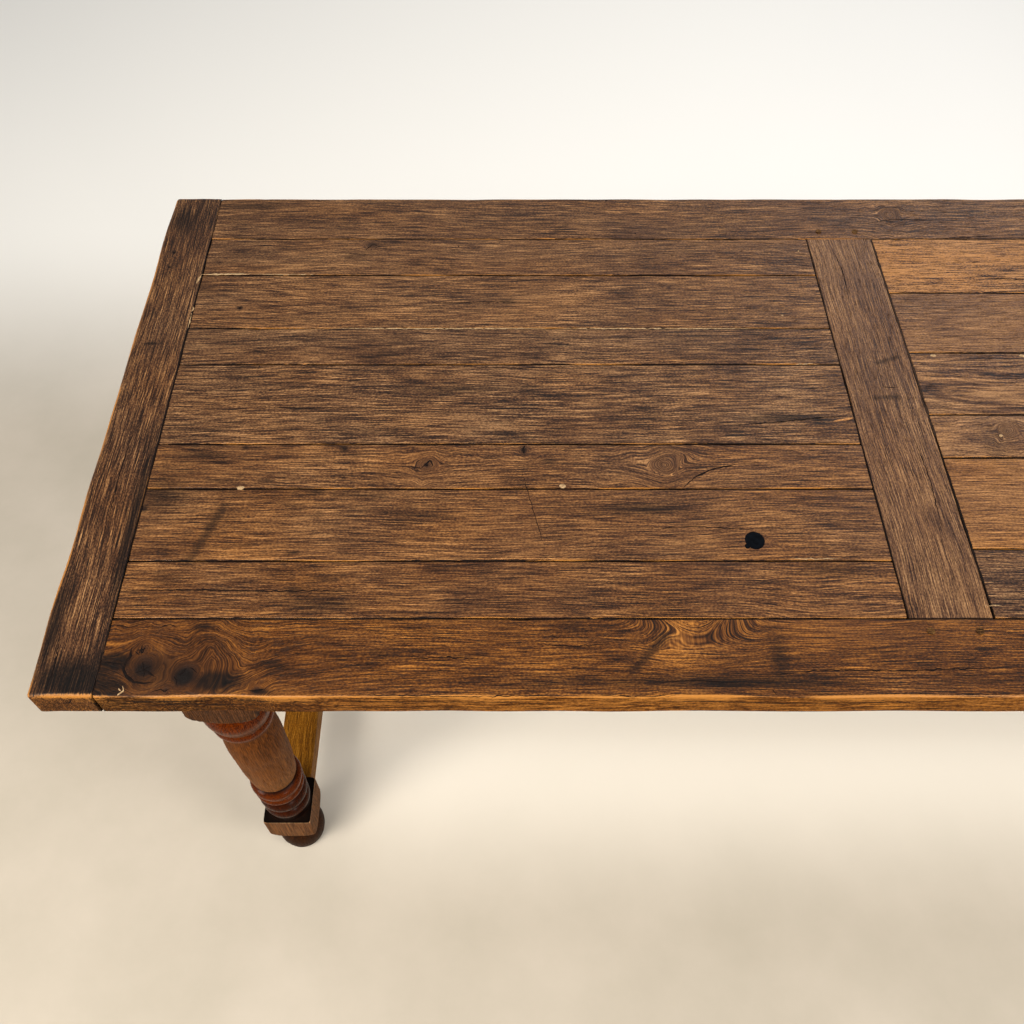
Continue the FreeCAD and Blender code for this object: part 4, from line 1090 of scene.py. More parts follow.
# %% Marks of the legs
# height, half width in mm and strength: dirt and painted shade in the recesses, and light
# lines on the fillets where the finish is worn through
RECESSES = (
    (276, 6, 1.15), (222, 5, 1.15), (187, 3.5, 1.1), (152, 7, 1.15), (481, 2, 0.5),
    (70, 7, 0.7), (559, 3, 0.9), (514, 1.2, 0.8), (487, 1.0, 0.5),
)
FILLETS = (
    (511, 1.4, 0.7), (485.5, 1.2, 0.65), (246.8, 1.0, 0.75), (226.5, 0.9, 0.65), (283.5, 0.7, 0.45),
)
# the turnings that cloths polish, from top to bottom in mm, and how much
POLISHED = ((556, 484, 1.0), (282, 148, 1.0), (76, 0, 0.5))


def bands(z, rows):
    """The strongest of some soft bands round a leg."""
    rings = [strength * bell(z - place * MM, half * MM) for place, half, strength in rows]
    return np.max(rings, axis=0)


def is_unpolished(middles, normals):
    """Which faces of a leg are on its blocks and its shaft, where no cloth polishes."""
    z = middles[:, 2]
    return (z > 0.557) | ((z > 0.283) & (z < 0.4835)) | (z < 0.1475)


print(len(RECESSES), "recesses,", len(FILLETS), "fillets")

# %% The four legs
# half widths of the square blocks and the heights between which they stay square
UPPER_HALF, UPPER_FOOT = 0.0445 - PROUD, 0.5625
LOWER_HALF, LOWER_TOP, LOWER_FOOT = 0.0375 - PROUD, 0.1471, 0.0759
STEPS_ROUND, SQUARENESS = 128, 44.0
legs = [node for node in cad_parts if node.startswith("leg_")]
for number, node in enumerate(legs):
    low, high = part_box(node)
    axis = ((low.x + high.x) / 2, (low.y + high.y) / 2, 0)
    source = bpy.data.meshes.new("profile")
    steps = [(i, i + 1) for i in range(len(profile) - 1)]
    source.from_pydata([(r * MM, 0, z * MM) for z, r in profile], steps, [])
    mesh = run_tree(
        f"turned_{node}", source, turning, Steps_Round=STEPS_ROUND, Axis=axis,
        Upper_Half_Width=UPPER_HALF, Upper_Block_Bottom=UPPER_FOOT,
        Lower_Half_Width=LOWER_HALF, Lower_Block_Top=LOWER_TOP, Lower_Block_Bottom=LOWER_FOOT,
        Squareness=SQUARENESS, Finish=turned_oak,
    )
    outward(mesh)
    x, y, z = (places_of(mesh) - axis).T
    store_grain(mesh, 40 + number, z, x, y, (0.075, -0.05 + 0.02 * number), 0.01)
    upper_block, lower_block = z > 0.565, (z > 0.078) & (z < 0.1465)
    block = upper_block | lower_block
    spun_top = (np.abs(z - 0.147) < 0.0004) & (np.hypot(x, y) > 0.036)
    low_shaft = np.clip((0.46 - z) / 0.16, 0, 1) * (z > 0.283)
    tone = -0.03 + 0.09 * low_shaft - 0.13 * np.clip((0.226 - z) / 0.006, 0, 1)
    tone -= 0.05 * (z < 0.078)
    tone = np.select([upper_block, lower_block], [-0.09, 0.01], tone)
    store(mesh, "tone", tone - 0.1 * spun_top)
    warmth = 1.0 - 0.75 * low_shaft + 0.15 * waves(50 + number, 0.07, z, x, y)
    warmth = np.select([upper_block, lower_block], [0.25, 0.1], np.clip(warmth, 0, 1))
    store(mesh, "warm", warmth)
    # the recesses are darkened with dirt and painted shade; the spun top of the lower block is dark
    # too
    store(mesh, "soot_and_shade", np.maximum(bands(z, RECESSES) * ~lower_block, 1.0 * spun_top))
    store(mesh, "rub", np.maximum(bands(z, FILLETS), 0.7 * (np.abs(z - 0.1456) < 0.0003)))
    glossy = [share * ((z < top * MM) & (z > bottom * MM)) for top, bottom, share in POLISHED]
    # cloths reach what faces up and out, and leave the undersides dull
    normals = np.empty(len(mesh.vertices) * 3, np.float32)
    mesh.vertex_normals.foreach_get("vector", normals)
    reached = np.clip(0.75 + 1.6 * normals.reshape(-1, 3)[:, 2], 0, 1)
    store(mesh, "polish", np.maximum(np.max(glossy, axis=0) * ~block * reached, spun_top))
    store(mesh, "bold", np.where(block, 0.5, 0.42))
    name = f"turned_{node}"
    finish_piece(name, mesh, turned_oak, [node], dull_turned_oak, is_unpolished)
print("legs turned, faces each:", len(mesh.polygons))

# %% [markdown]
# ## The frame under the top
# Aprons, stretchers, bearers and buttons keep their shapes from the frame. Aprons,
# stretchers and bearers each get the grain of their own length and softly worn edges; the
# buttons take their grain from the object's axes.

# %% Under the top
# the start of a name: material, its slot, how far the ends go into joints, and soft edges
UNDER = {
    "apron": (apron_oak, "apron_oak", 0.050, 0.0015),
    "end_stretcher": (stretcher_oak, "stretcher_oak", 0.045, 0.004),
    "centre_stretcher": (stretcher_oak, "stretcher_oak", 0.032, 0.004),
    "bearer": (under_oak, "under_oak", 0.012, 0.0015),
}
UNDER_NODES = (
    "apron_front", "apron_back", "apron_left", "apron_right", "end_stretcher_left",
    "end_stretcher_right", "centre_stretcher", "bearer_left", "bearer_middle", "bearer_right",
)
ENDS, COARSE_STEP = 0.0004, 0.005
for seed, node in enumerate(UNDER_NODES, start=70):
    material, slot, trim, soft = next(UNDER[kind] for kind in UNDER if node.startswith(kind))
    low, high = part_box(node)
    lengthways = high.x - low.x > high.y - low.y
    if lengthways:
        low.x += trim
        high.x -= trim
    else:
        low.y += trim
        high.y -= trim

    def rub_down(s, t, h, length, width, thick):
        wave = np.maximum(0, 1 + waves(seed, 0.12, s)) * 0.0004
        up = np.clip(h / thick, 0, 1)
        t = t + wave * fade(t, 0.02) - wave * fade(width - t, 0.02)
        return s, t, h - (wave + PROUD) * up**4 + PROUD * is_foot(h)

    radii = (ENDS, ENDS, soft, soft)
    mesh, (s, t, h) = board_mesh(node, low, high, lengthways, radii, COARSE_STEP, rub_down)
    store_grain(mesh, seed, s, t, h, (0.12, -0.08), 0.012)
    edge = np.minimum(t, t.max() - t) + (h.max() - h)
    past_ends = np.minimum(s, s.max() - s) > 0.02
    store(mesh, "rub", np.where(past_ends, 0.45 * bell(edge, soft), 0.0))
    finish_piece(f"worn_{node}", mesh, material, [node])
print(len(UNDER_NODES), "pieces under the top")

# %% Buttons and pegs keep their solids
PEGS = ("corner_joint_pegs", "cross_rail_pegs", "apron_pegs", "stretcher_pegs")
for node, material in (("top_buttons", button_oak), *((pegs, peg_oak) for pegs in PEGS)):
    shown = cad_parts[node]
    shown.data.materials.clear()
    shown.data.materials.append(material)
print("small solids dressed")

# %% Tongues in the joints
# A strip fills each open joint below the arrises, as the tongues and the tenons of the
# rails do, so that no floor shows through the top. It is painted black all over, as the
# shade deep inside the joint.
TONGUE_TOP, TONGUE_BOTTOM, INSIDE, FROM_EDGE = 0.0065, 0.024, 0.004, 0.003
BOX_FACES = (
    (3, 2, 1, 0), (4, 5, 6, 7), (0, 1, 5, 4), (1, 2, 6, 5), (2, 3, 7, 6), (3, 0, 4, 7),
)
planks = [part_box(node) for node in BOARDS if "plank" in node]
top_height = cad_high[2]
closed_joints = []
for low, high in planks:
    line = low.y + TONGUE
    closed_joints.append((low.x, high.x, line - INSIDE, line + INSIDE))
    for end in (low.x + TONGUE, high.x - TONGUE):
        closed_joints.append((end - INSIDE, end + INSIDE, line, high.y - TONGUE))
for low, high in (visible_part("front_rail"), visible_part("back_rail")):
    for end in (low.x, high.x):
        closed_joints.append((end - INSIDE, end + INSIDE, low.y + FROM_EDGE, high.y - FROM_EDGE))
strips = bmesh.new()
for x0, x1, y0, y1 in closed_joints:
    corners = [
        strips.verts.new((x, y, z)) for z in (top_height - TONGUE_BOTTOM, top_height - TONGUE_TOP)
        for x, y in ((x0, y0), (x1, y0), (x1, y1), (x0, y1))
    ]
    for face in BOX_FACES:
        strips.faces.new([corners[k] for k in face])
mesh = bpy.data.meshes.new("joint_tongues")
strips.to_mesh(mesh)
strips.free()
store_grain(mesh, 90, *places_of(mesh).T, (1.0, 0.0))
# painted shade: the strips are black all over
store(mesh, "soot_and_shade", np.ones(len(mesh.vertices)))
finish_piece("joint_tongues", mesh, top_oak)
print("tongue strips:", len(closed_joints))

# %% [markdown]
# ## Cracks, filler and old holes
# What makes the top old is drawn on it: drying cracks, splits round the knots, beige filler
# in the open joints, chips and nail holes. Each is a path across the table, in mm, that is
# dropped onto the worn surface by a ray. One Geometry Nodes tree sweeps a small ring along
# every path, as wide as the path says, and presses it almost flat, so that a crack reads as
# a dark line and a dab of filler as a low drop.

# %% The tree for a mark on the surface
marking, given = new_tree(
    "mark_on_surface", "Marks", Paths="Geometry", Sides="Int", Flatness="Float", Finish="Material",
)
NAMED = "GeometryNodeInputNamedAttribute"
half_width = add(marking, NAMED, {"Name": "half_width"}, data_type="FLOAT").outputs[0]
base = add(marking, NAMED, {"Name": "base"}, data_type="FLOAT_VECTOR").outputs[0]
facing = add(marking, NAMED, {"Name": "facing"}, data_type="FLOAT_VECTOR").outputs[0]
curves = add(marking, "GeometryNodeMeshToCurve", {"Mesh": given["Paths"]})
ring = {"Resolution": given["Sides"], "Radius": 1.0}
loop = add(marking, "GeometryNodeCurvePrimitiveCircle", ring).outputs["Curve"]
swept = {"Curve": curves, "Profile Curve": loop, "Scale": half_width, "Fill Caps": True}
tube = add(marking, "GeometryNodeCurveToMesh", swept)
# each point is pressed towards the surface that its path lies on
where = add(marking, "GeometryNodeInputPosition")
away = add(marking, VECTOR_MATH, (where, base), operation="SUBTRACT")
rise = add(marking, VECTOR_MATH, (away, facing), operation="DOT_PRODUCT").outputs["Value"]
left = add(marking, MATH, (given["Flatness"], 1.0), operation="SUBTRACT")
press = add(marking, MATH, (rise, left), operation="MULTIPLY")
pressed = add(marking, VECTOR_MATH, {0: facing, "Scale": press}, operation="SCALE")
flat = add(marking, "GeometryNodeSetPosition", {"Geometry": tube, "Offset": pressed})
end_tree(marking, flat, given["Finish"])


# %% Materials of the marks
def speckled(name, dark, light, roughness, scale=400.0, specular=0.3):
    """A small plain material: two colours mixed by fine noise in the object's space."""
    made, tree = new_material(name)
    place = add(tree, COORDINATES).outputs["Object"]
    noise = add(tree, NOISE, {"Vector": place, "Scale": scale, "Detail": 3.0, "Roughness": 0.6})
    colour = add(tree, RAMP, (noise,), stops=((0.35, dark), (0.65, light)))
    rough = add(tree, RANGE, {"Value": noise, "To Min": roughness - 0.1, "To Max": roughness + 0.1})
    bump = add(tree, BUMP, {"Strength": 0.3, "Distance": 0.0005, "Height": noise})
    surface = add(tree, SURFACE, {
        "Base Color": colour, "Roughness": rough, "Normal": bump, "Specular IOR Level": specular,
    })
    add(tree, RESULT, (surface,))
    return made


# dirt packed in a crack, with painted shade: almost black and dull, so that it reads as the crack's
# depth; the holes take it too
crack_dirt_and_shade = speckled("black_crack_dirt_and_shade", "080505", "170e0a", 0.85, specular=0.1)
# old wood filler: chalky and beige, browner where wax has soaked in
beige_filler = speckled("old_beige_filler", "7d6244", "b0946e", 0.75, specular=0.15)
# bare splinters on edges: the pale wood under the stain
bare_wood = speckled("bare_splintered_oak", "7d4e24", "ad7c46", 0.6)
# a joint packed with old wax and dust: brown rather than black
packed_wax = speckled("brown_packed_wax", "1c130d", "33241a", 0.7, specular=0.1)
# hard wax stick: blue-black, smoother than the wood round it
black_wax = speckled("blue_black_wax", "010204", "05080d", 0.5, scale=150.0, specular=0.03)
print("mark materials ready")


# %% Drop a path onto the surface
def tree_of(pieces):
    """One search tree of the faces of some pieces."""
    points, faces = [], []
    for piece in pieces:
        first = len(points)
        points += [tuple(v.co) for v in piece.data.vertices]
        faces += [[first + k for k in polygon.vertices] for polygon in piece.data.polygons]
    return BVHTree.FromPolygons(points, faces)


surface_tree = tree_of(top_pieces)
# a mark lies this far off the wood, an open joint is bridged this far to each side, and a
# hit less deep than this is on the top itself
LIFT, BRIDGED, NEAR_TOP = 0.00006, 0.002, 0.003


def on_top(x, y):
    """The highest point of the worn top close to a place, so that open joints are bridged."""
    found = []
    for dx, dy in ((0, 0), (0, BRIDGED), (0, -BRIDGED), (BRIDGED, 0), (-BRIDGED, 0)):
        hit = surface_tree.ray_cast(Vector((x + dx, y + dy, 1)), Vector((0, 0, -1)))[0]
        if hit is not None:
            found.append(hit.z)
            if (dx, dy) == (0, 0) and hit.z > top_height - NEAR_TOP:
                break
    return (x, y, min(max(found) + LIFT, top_height - 2 * LIFT)), (0, 0, 1)


def on_front(x, z):
    """The point of the front face at a place."""
    hit = surface_tree.ray_cast(Vector((x, -1, z)), Vector((0, 1, 0)))[0]
    return (x, max(hit.y - LIFT, cad_low[1] + 0.0001), z), (0, -1, 0)


print("the middle of the top lies at", round(on_top(0.3, 0)[0][2], 4))

# %% Paths of marks
# how wide a path is along its length, as a share, for each shape of mark
WIDTHS = {
    "crack": lambda share: np.minimum(1, 4 * share) * np.minimum(1, 4 * (1 - share)) + 0.12,
    "oval": lambda share: np.sqrt(np.clip(1 - (2 * share - 1) ** 2, 0.02, 1)),
    "strip": np.ones_like,
}
# a pressed ring stays this far inside the box of the frame
CLEAR = 0.00002


class Paths:
    """Gathers the paths of one kind of mark in one mesh."""

    def __init__(self):
        self.points, self.edges, self.widths, self.facings = [], [], [], []

    def draw(
        self, seed, corners, half_width, shape="crack", drop=on_top, wander=0.0006,
        spacing=0.0022, uneven=0.45,
    ):
        """corners are in mm. A crack narrows to both ends, an oval is round, a strip is even."""
        corners = np.array(corners, float) * MM
        runs = np.hypot(*np.diff(corners, axis=0).T)
        reach = np.concatenate([[0], np.cumsum(runs)])
        count = max(6, int(reach[-1] / spacing) + 1)
        share = np.linspace(0, 1, count)
        along = share * reach[-1]
        u, v = (np.interp(along, reach, corners[:, k]) for k in (0, 1))
        tangent = np.stack([np.gradient(u), np.gradient(v)])
        tangent /= np.maximum(np.hypot(*tangent), 1e-9)
        widths = half_width * MM * WIDTHS[shape](share)
        if shape != "oval":
            offset = wander * waves(seed, 0.012, along)
            u, v = u - tangent[1] * offset, v + tangent[0] * offset
            widths = widths * np.clip(1 + uneven * waves(seed + 1, 0.02, along), 0.35, 2)
        first = len(self.points)
        for x, y in zip(u, v):
            point, facing = drop(x, y)
            self.points.append(point)
            self.facings.append(facing)
        self.widths.extend(widths)
        self.edges += [(first + k, first + k + 1) for k in range(count - 1)]

    def draw_all(self, rows, first_seed, **settings):
        """Draws rows of half width and corners, with seeds counted up from the first."""
        for number, (half_width, *corners) in enumerate(rows):
            self.draw(first_seed + number, corners, half_width, **settings)

    def build(self, name, material, flatness=0.10, sides=6):
        """Sweeps all the paths into one piece that stays inside the box of the frame."""
        source = bpy.data.meshes.new(name + "_paths")
        source.from_pydata(self.points, self.edges, [])
        store(source, "half_width", self.widths)
        base, pressed = np.array(self.points), np.array(self.widths) * flatness
        faces_up = np.array(self.facings)[:, 2] > 0.5
        low_enough = np.minimum(base[:, 2], cad_high[2] - CLEAR - pressed)
        far_enough = np.maximum(base[:, 1], cad_low[1] + CLEAR + pressed)
        base[:, 2] = np.where(faces_up, low_enough, base[:, 2])
        base[:, 1] = np.where(faces_up, base[:, 1], far_enough)
        source.vertices.foreach_set("co", base.astype(np.float32).ravel())
        store(source, "base", base)
        store(source, "facing", self.facings)
        mesh = run_tree(name, source, marking, Sides=sides, Flatness=flatness, Finish=material)
        outward(mesh)
        for extra in ("half_width", "base", "facing"):
            if extra in mesh.attributes:
                mesh.attributes.remove(mesh.attributes[extra])
        show(name, mesh)
        print(name, "drawn through", len(self.points), "points")


# %% Cracks and splits
# half width, then the places
CRACKS = (
    (1.35, (-898.6, -352), (-898.2, -360), (-897, -366), (-901, -372), (-901.6, -382),
     (-896, -390), (-888, -395.6), (-879, -397.4), (-866, -396)),
    (0.9, (-926, -373), (-913, -374.6), (-901, -374.9)),
    (0.7, (-894, -359.9), (-888.6, -363.8), (-887.6, -352)),
    (0.6, (-884, -353), (-885, -362), (-889, -357)),
    (0.8, (-883, -372), (-880, -382), (-877, -391)),
    (0.8, (-889, -386), (-880, -382), (-865, -390)),
    (0.5, (-884, -378), (-880, -382), (-872, -377)),
    (0.6, (-892, -358), (-887, -359), (-883, -356)),
    (0.6, (-888, -353), (-887, -359), (-886, -364)),
    (0.9, (-846, -389), (-842, -395), (-842, -400)),
    (0.7, (-841, -388), (-838, -385), (-834, -380)),
    (0.6, (-831, -379), (-827, -381), (-822, -386)),
    (0.7, (-866, -407), (-858, -404), (-853, -407), (-848, -403)),
    (0.9, (-765, -405), (-757, -406), (-748, -404)),
    (0.5, (-875, -331), (-862, -327), (-850, -331)),
    (0.6, (-220, -389), (-191, -386), (-162, -383), (-135, -382), (-64, -383), (-17, -381),
     (59, -379)),
    (0.5, (-211, -404), (-208, -411)), (0.6, (-600, -369), (-560, -367), (-520, -369)),
    (0.5, (-455, -352), (-420, -354), (-380, -351)),
    (0.5, (-330, -396), (-290, -394), (-250, -397)),
    (0.6, (-666, -411), (-604, -411), (-530, -412), (-436, -411)),
    (0.6, (-394, -411), (-357, -412), (-314, -411)),
    (0.7, (-933, -284), (-848, -283), (-760, -285), (-657, -284)),
    (0.7, (-208, -42), (-150, -37), (-90, -29), (-40, -25)),
    (1.0, (-470, -89), (-471, -81), (-469, -73)),
    (0.9, (-278, -140), (-262, -124), (-240, -112), (-204, -103)),
    (0.8, (-598, -114), (-592, -104), (-586, -99), (-581, -108)),
    (0.6, (-606, -108), (-597, -111)), (0.35, (-475, -106), (-462, -165), (-447, -230)),
    (0.5, (-2, 23), (18, 22)), (0.8, (193, 232), (247, 229)), (0.8, (154, 319), (236, 324)),
    (0.5, (-700, 290), (-688, 305), (-676, 300)), (0.6, (40, 350), (90, 362), (150, 358)),
    (0.5, (-560, 60), (-470, 57), (-380, 60)), (0.5, (-820, -10), (-740, -14), (-650, -11)),
    (0.5, (-600, 180), (-520, 183), (-440, 181)),
    (0.5, (-330, -200), (-270, -197), (-200, -201)),
    (0.6, (-979, -413), (-976, -380), (-979, -340)),
    (0.5, (-962, -200), (-965, -120), (-962, -40)), (0.5, (20, -200), (24, -130), (20, -60)),
    (0.5, (-12, 180), (-8, 240), (-14, 300)),
    (0.7, (640, -376), (700, -372), (760, -377), (840, -373)),
    (0.6, (480, -110), (560, -106), (650, -111)), (0.7, (600, -318), (612, -306), (624, -300)),
    (0.6, (300, 80), (380, 84), (460, 79)), (0.6, (700, 250), (780, 246), (860, 251)),
    (0.6, (960, -300), (966, -220), (961, -150)),
)
# the same on the front face, along and up: a check in the end board, the rail joint and
# long drying cracks
FRONT_CRACKS = (
    (0.7, (-950, 757), (-953, 750), (-959, 741)),
    (0.8, (-927.8, 756), (-928.5, 740), (-928, 724)),
    (0.9, (-880, 738), (-840, 742), (-800, 737), (-760, 739)),
    (0.8, (-669, 748), (-552, 745), (-435, 748)),
    (0.8, (-380, 744), (-300, 747), (-180, 743), (28, 747)),
    (0.8, (-905, 747), (-860, 749), (-815, 746)), (0.7, (-790, 750), (-730, 748), (-680, 750)),
    (0.5, (120, 738), (240, 741), (380, 737)), (0.6, (500, 746), (640, 742), (800, 747)),
    (0.5, (-720, 730), (-600, 733), (-500, 729)),
)
# the ends of the planks and the inner edge of the end boards, more open than the sides:
# x, from y to y, and half width
PLANK_ENDS = (
    (-927.6, -319, 317, 0.8), (-47.8, -318, 60, 0.8), (-47.8, 60, 316, 0.4),
    (47.8, -318, -60, 1.1), (47.8, -60, 20, 0.5), (-927.6, -412, -321, 0.8),
    (-927.6, 319, 411, 0.5), (927.6, -319, 317, 0.8),
)
cracks = Paths()
for seed, (half, *corners) in enumerate(CRACKS, start=300):
    calm = {"wander": 0.0002, "uneven": 0.2} if half > 1 else {}
    cracks.draw(seed, corners, half, **calm)
# joints that have opened: black runs of dirt and painted shade along the long sides of the planks
rng = np.random.default_rng(7)
for low, high in planks:
    line = (low.y + TONGUE) / MM
    x, end = low.x + TONGUE + INSIDE, high.x - TONGUE - INSIDE
    while x < end - 0.05:
        stop = min(x + rng.uniform(0.06, 0.30), end)
        seed, corners = int(rng.integers(1000, 9000)), [(x / MM, line), (stop / MM, line)]
        cracks.draw(seed, corners, rng.uniform(0.4, 0.8), wander=0.0002, spacing=0.006)
        x = stop + rng.uniform(0.01, 0.12)
for x, y0, y1, half in PLANK_ENDS:
    corners = [(x, y0), (x, (y0 + y1) / 2), (x, y1)]
    cracks.draw(int(abs(x * 10 + y0)), corners, half, wander=0.0003, spacing=0.005)
cracks.draw_all(FRONT_CRACKS, 400, drop=on_front, spacing=0.006)
cracks.build("cracks_and_open_joints", crack_dirt_and_shade)

# %% Filler in the joints and over old nails
# half width, then the places
FILLED_JOINTS = (
    (1.5, (-930, 240), (-900, 241), (-857, 241)), (0.7, (-857, 241), (-800, 240), (-760, 240)),
    (1.6, (-929, 238), (-931, 230), (-933, 221)), (0.8, (-928, 185), (-928, 160), (-928, 131)),
    (0.85, (-733, 131), (-560, 131), (-430, 131)), (0.8, (-425, 131), (-250, 131), (-145, 131)),
    (0.6, (-109, 64), (-92, 65), (-75, 65)), (0.5, (-166, -241), (-135, -242), (-108, -241)),
    (0.5, (40, -303), (60, -303)),
    (0.8, (-898, -400), (-896, -405), (-900, -409), (-903, -413)),
    (0.6, (-902, -403), (-899, -406)),
)
# dabs over nails, from x, y to x, y and half width
DABS = (
    (-819, -140, -809, -140, 3.2), (-428, -137, -420, -138, 3.4), (76, 80, 84, 80, 2.4),
    (195, 80, 203, 80, 2.6), (128, -58, 132, -60, 2.6), (-111.5, 157, -108, 157, 1.4),
    (-66, 290, -63, 290, 1.2), (640, 131, 652, 131, 2.4), (520, -241, 530, -241, 2.2),
)
filler = Paths()
filler.draw_all(FILLED_JOINTS, 500, spacing=0.003)
for x0, y0, x1, y1, half in DABS:
    filler.draw(int(abs(x0)), [(x0, y0), (x1, y1)], half, shape="oval", spacing=0.0008)
filler.build("old_filler", beige_filler, flatness=0.12)

# %% Wax and dust in the joints
# across the table: x, from y to y, half width; then along it: from x to x, and y
WAXED_ACROSS = ((47.6, -60, 318, 1.3), (-47.6, 60, 318, 0.7), (-927.4, -410, -330, 0.6))
WAXED_ALONG = ((-900, -500, 318.6), (-420, -60, 318.6), (60, 500, 318.6), (-800, -620, -319.6))
packed = Paths()
for x, y0, y1, half in WAXED_ACROSS:
    corners = [(x, y0), (x, (y0 + y1) / 2), (x, y1)]
    packed.draw(int(abs(x + y0)), corners, half, shape="strip", wander=0.0003, spacing=0.005)
for x0, x1, y in WAXED_ALONG:
    corners = [(x0, y), ((x0 + x1) / 2, y), (x1, y)]
    packed.draw(int(abs(x0 + y)), corners, 0.8, shape="strip", wander=0.0002, spacing=0.006)
packed.build("wax_in_joints", packed_wax)

# %% Splinters and the wax plug
SPLINTERS = (
    (1.6, (-77, -35), (-61, -32), (-47, -28)), (0.5, (-980, -411), (-940, -411)),
    (0.7, (-870, -411.5), (-800, -411.8)), (0.5, (-40, -411), (60, -411.4), (160, -411)),
    (0.6, (-540, -241.5), (-470, -241.2), (-400, -241.5)), (0.5, (-300, 71), (-220, 71.5)),
)
splinters = Paths()
splinters.draw_all(SPLINTERS, 600, spacing=0.004)
splinters.build("bare_splinters", bare_wood)
# a knot hole stopped with a stick of hard wax, and the drop beside it
wax = Paths()
wax.draw(700, [(-214, -217), (-191, -216)], 12.4, shape="oval", spacing=0.0005)
wax.draw(701, [(-215, -223), (-209, -226)], 3.5, shape="oval", spacing=0.0005)
wax.build("black_wax_plug", black_wax, flatness=0.012, sides=20)

# %% [markdown]
# ## Holes, dots and screws
# Nails, beetles and hardware leave small round things, many of each. One Geometry Nodes
# tree puts a given shape on every point of a mesh, turned and sized by the point's own
# attributes, so that a list of places is all that a hole or a screw needs.

# %% The tree that puts a shape on points
scatter, given = new_tree(
    "shape_on_points", "Placed", Points="Geometry", Shape="Object", Size="Float",
    Finish="Material",
)
share = add(scatter, NAMED, {"Name": "share"}, data_type="FLOAT").outputs[0]
spin = add(scatter, NAMED, {"Name": "spin"}, data_type="FLOAT_VECTOR").outputs[0]
shape = add(scatter, "GeometryNodeObjectInfo", {"Object": given["Shape"]}).outputs["Geometry"]
size = add(scatter, MATH, (share, given["Size"]), operation="MULTIPLY")
placed = add(scatter, "GeometryNodeInstanceOnPoints", {
    "Points": given["Points"], "Instance": shape, "Rotation": spin, "Scale": size,
})
end_tree(scatter, placed, given["Finish"])


# %% Small shapes, one unit wide
def round_points(radius, height, sides):
    """Points on a circle round the upright axis."""
    turns = [2 * math.pi * k / sides for k in range(sides)]
    return [(radius * math.cos(turn), radius * math.sin(turn), height) for turn in turns]


def small_shape(name, mesh, sharp):
    """A smooth object with its sharp corners kept, from so many degrees on."""
    mesh.shade_smooth()
    mesh.set_sharp_from_angle(angle=math.radians(sharp))
    return into_scene(name, mesh)


def lathe(name, rows, sides=16):
    """A closed little solid: rings of radius and height from the top middle to the foot."""
    points = [(0, 0, rows[0][1])]
    for radius, height in rows[1:]:
        points += round_points(radius, height, sides)
    faces = [(0, 1 + k, 1 + (k + 1) % sides) for k in range(sides)]
    for row in range(len(rows) - 2):
        a, b = 1 + row * sides, 1 + (row + 1) * sides
        pairs = [(k, (k + 1) % sides) for k in range(sides)]
        faces += [(a + k, b + k, b + n, a + n) for k, n in pairs]
    faces.append([1 + (len(rows) - 2) * sides + k for k in range(sides)][::-1])
    mesh = bpy.data.meshes.new(name)
    mesh.from_pydata(points, [], faces)
    return small_shape(name, mesh, 40)


def join_rings(work, upper, lower):
    """A band of faces between two rings of points."""
    for k, n in zip(range(len(upper)), [*range(1, len(upper)), 0]):
        work.faces.new((upper[k], lower[k], lower[n], upper[n]))


def slotted_head(name, sides=14, slot=0.09, depth=0.12, crown_height=0.16, sunk=-0.3):
    """A screw head seen from above: two half rounds with a slot between them, on a disc."""
    work = bmesh.new()
    start = math.asin(slot / 0.5)
    for side in (1, -1):
        turns = np.linspace(start, math.pi - start, sides)
        rim = [(0.5 * math.cos(turn), side * 0.5 * math.sin(turn)) for turn in turns]
        inner = [(0.84 * x, max(slot, 0.84 * y * side) * side) for x, y in rim]
        crown = [work.verts.new((x, y, crown_height)) for x, y in inner]
        edge, foot = ([work.verts.new((x, y, z)) for x, y in rim] for z in (0.06, sunk))
        work.faces.new(crown)
        work.faces.new(foot)
        join_rings(work, crown, edge)
        join_rings(work, edge, foot)
    disc = [
        [work.verts.new(place) for place in round_points(0.49, z, sides)]
        for z in (crown_height - depth, sunk)
    ]
    for ring in disc:
        work.faces.new(ring)
    join_rings(work, *disc)
    bmesh.ops.recalc_face_normals(work, faces=work.faces)
    mesh = bpy.data.meshes.new(name)
    work.to_mesh(mesh)
    work.free()
    return small_shape(name, mesh, 30)


def place_shapes(name, shape, spots, size, material):
    """Puts a shape on each spot (place, turning, share of the size), as one piece."""
    places, turnings, shares = zip(*spots)
    source = bpy.data.meshes.new(name + "_points")
    source.from_pydata([tuple(place) for place in places], [], [])
    store(source, "spin", turnings)
    store(source, "share", shares)
    mesh = run_tree(name, source, scatter, Shape=shape, Size=size, Finish=material)
    bpy.data.objects.remove(shape)
    show(name, mesh)
    print(name, len(spots), "placed,", len(mesh.polygons), "faces")


# %% Nail and worm holes
# x, y and width of those that can be seen, then for seeded worm holes, which keep to a few
# boards, the middle of each group and how far it spreads
HOLES = (
    (-977, 286, 3.2), (-978, 255, 3.0), (-863, 171, 3.4), (-65, 292, 2.6), (-27, -336, 2.6),
    (26, -337, 2.6), (-339, 406, 3.0), (-590, -106, 4.0), (-562, 300, 2.4), (-300, 330, 2.6),
    (210, -404, 2.6), (455, 180, 3.0), (-820, 60, 2.4), (840, -280, 3.0),
)
WORMY = (
    (-700, 150, 200, 40), (-300, -280, 160, 30), (-450, 380, 240, 20), (-200, -370, 200, 30),
    (500, 320, 200, 60), (600, -300, 220, 50), (965, 100, 18, 200),
)
WORMS, SUNK = 7, 0.0003
HOLE_PROFILE = ((0, 0.12), (0.25, 0.12), (0.5, 0.10), (0.52, -0.2))
rng = np.random.default_rng(23)
holes = []


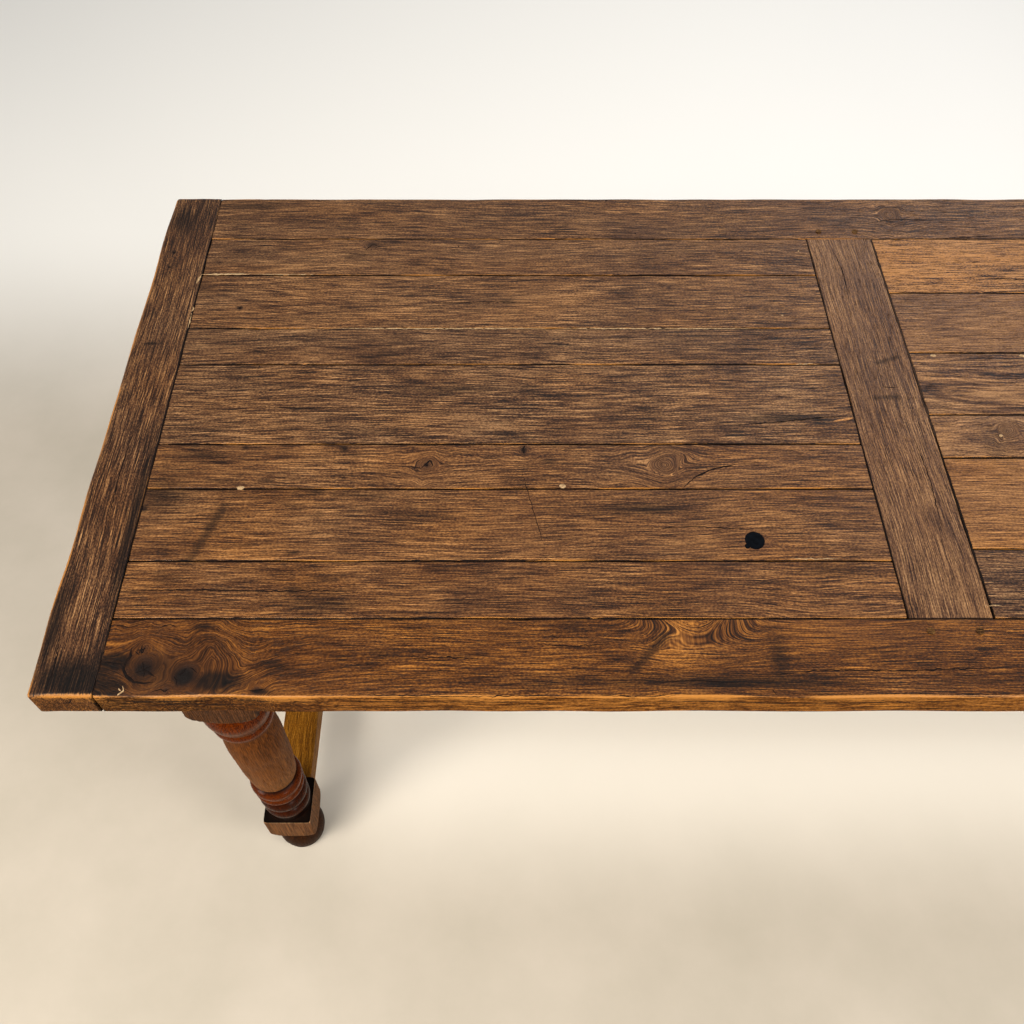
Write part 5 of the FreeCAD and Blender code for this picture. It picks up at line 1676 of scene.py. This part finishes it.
def hole(x, y, turning, width):
    """A hole at a place in mm, sunk a little into the wood."""
    (x, y, z), _ = on_top(x * MM, y * MM)
    holes.append(((x, y, z - SUNK), (0, 0, turning), width))


for x, y, width in HOLES:
    hole(x, y, 0, width)
for x, y, half_x, half_y in WORMY:
    for _ in range(WORMS):
        place = (x + rng.normal() * half_x * 0.5, y + rng.normal() * half_y * 0.5)
        hole(*place, rng.uniform(0, 6), rng.uniform(0.9, 1.6))
round_hole = lathe("hole", HOLE_PROFILE, 10)
# the holes are black with dirt and painted shade
place_shapes("nail_and_worm_holes", round_hole, holes, MM, crack_dirt_and_shade)

# %% Screws of the buttons
# a steel dulled by age: dark, metallic and fairly rough, with brown rust in patches
steel, tree = new_material("old_screw_steel")
place = add(tree, COORDINATES).outputs["Object"]
rust = add(tree, NOISE, {"Vector": place, "Scale": 420.0, "Detail": 4.0, "Roughness": 0.7})
colour = add(tree, RAMP, (rust,), stops=((0.42, "8a8478"), (0.62, "5a3a24")))
metal = add(tree, RANGE, (rust, 0.42, 0.62, 0.9, 0.1))
rough = add(tree, RANGE, (rust, 0.42, 0.62, 0.38, 0.8))
bump = add(tree, BUMP, {"Strength": 0.25, "Distance": 0.0004, "Height": rust})
surface = add(tree, SURFACE, {
    "Base Color": colour, "Metallic": metal, "Roughness": rough, "Normal": bump,
})
add(tree, RESULT, (surface,))

SCREW_WIDTH, BITE = 0.0085, 0.0002


def islands(mesh):
    """The corners of the box of each separate solid of a mesh."""
    work = bmesh.new()
    work.from_mesh(mesh)
    merge(work)
    left, found = set(work.verts), []
    while left:
        group, reached = set(), [left.pop()]
        while reached:
            vertex = reached.pop()
            group.add(vertex)
            for edge in vertex.link_edges:
                other = edge.other_vert(vertex)
                if other in left:
                    left.discard(other)
                    reached.append(other)
        places = np.array([v.co for v in group])
        found.append((places.min(0), places.max(0)))
    work.free()
    return found


rng = np.random.default_rng(31)
screws = []
for low, high in islands(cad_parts["top_buttons"].data):
    x, y, _ = (low + high) / 2
    screws.append(((x, y, low[2] - BITE), (math.pi, 0, rng.uniform(0, math.pi)), 1.0))
place_shapes("button_screws", slotted_head("screw"), screws, SCREW_WIDTH, steel)

# %% [markdown]
# ## Colour as it is
# The Standard view shows a colour as it was written, with nothing graded on top.

# %% View
SCENE.view_settings.view_transform = "Standard"
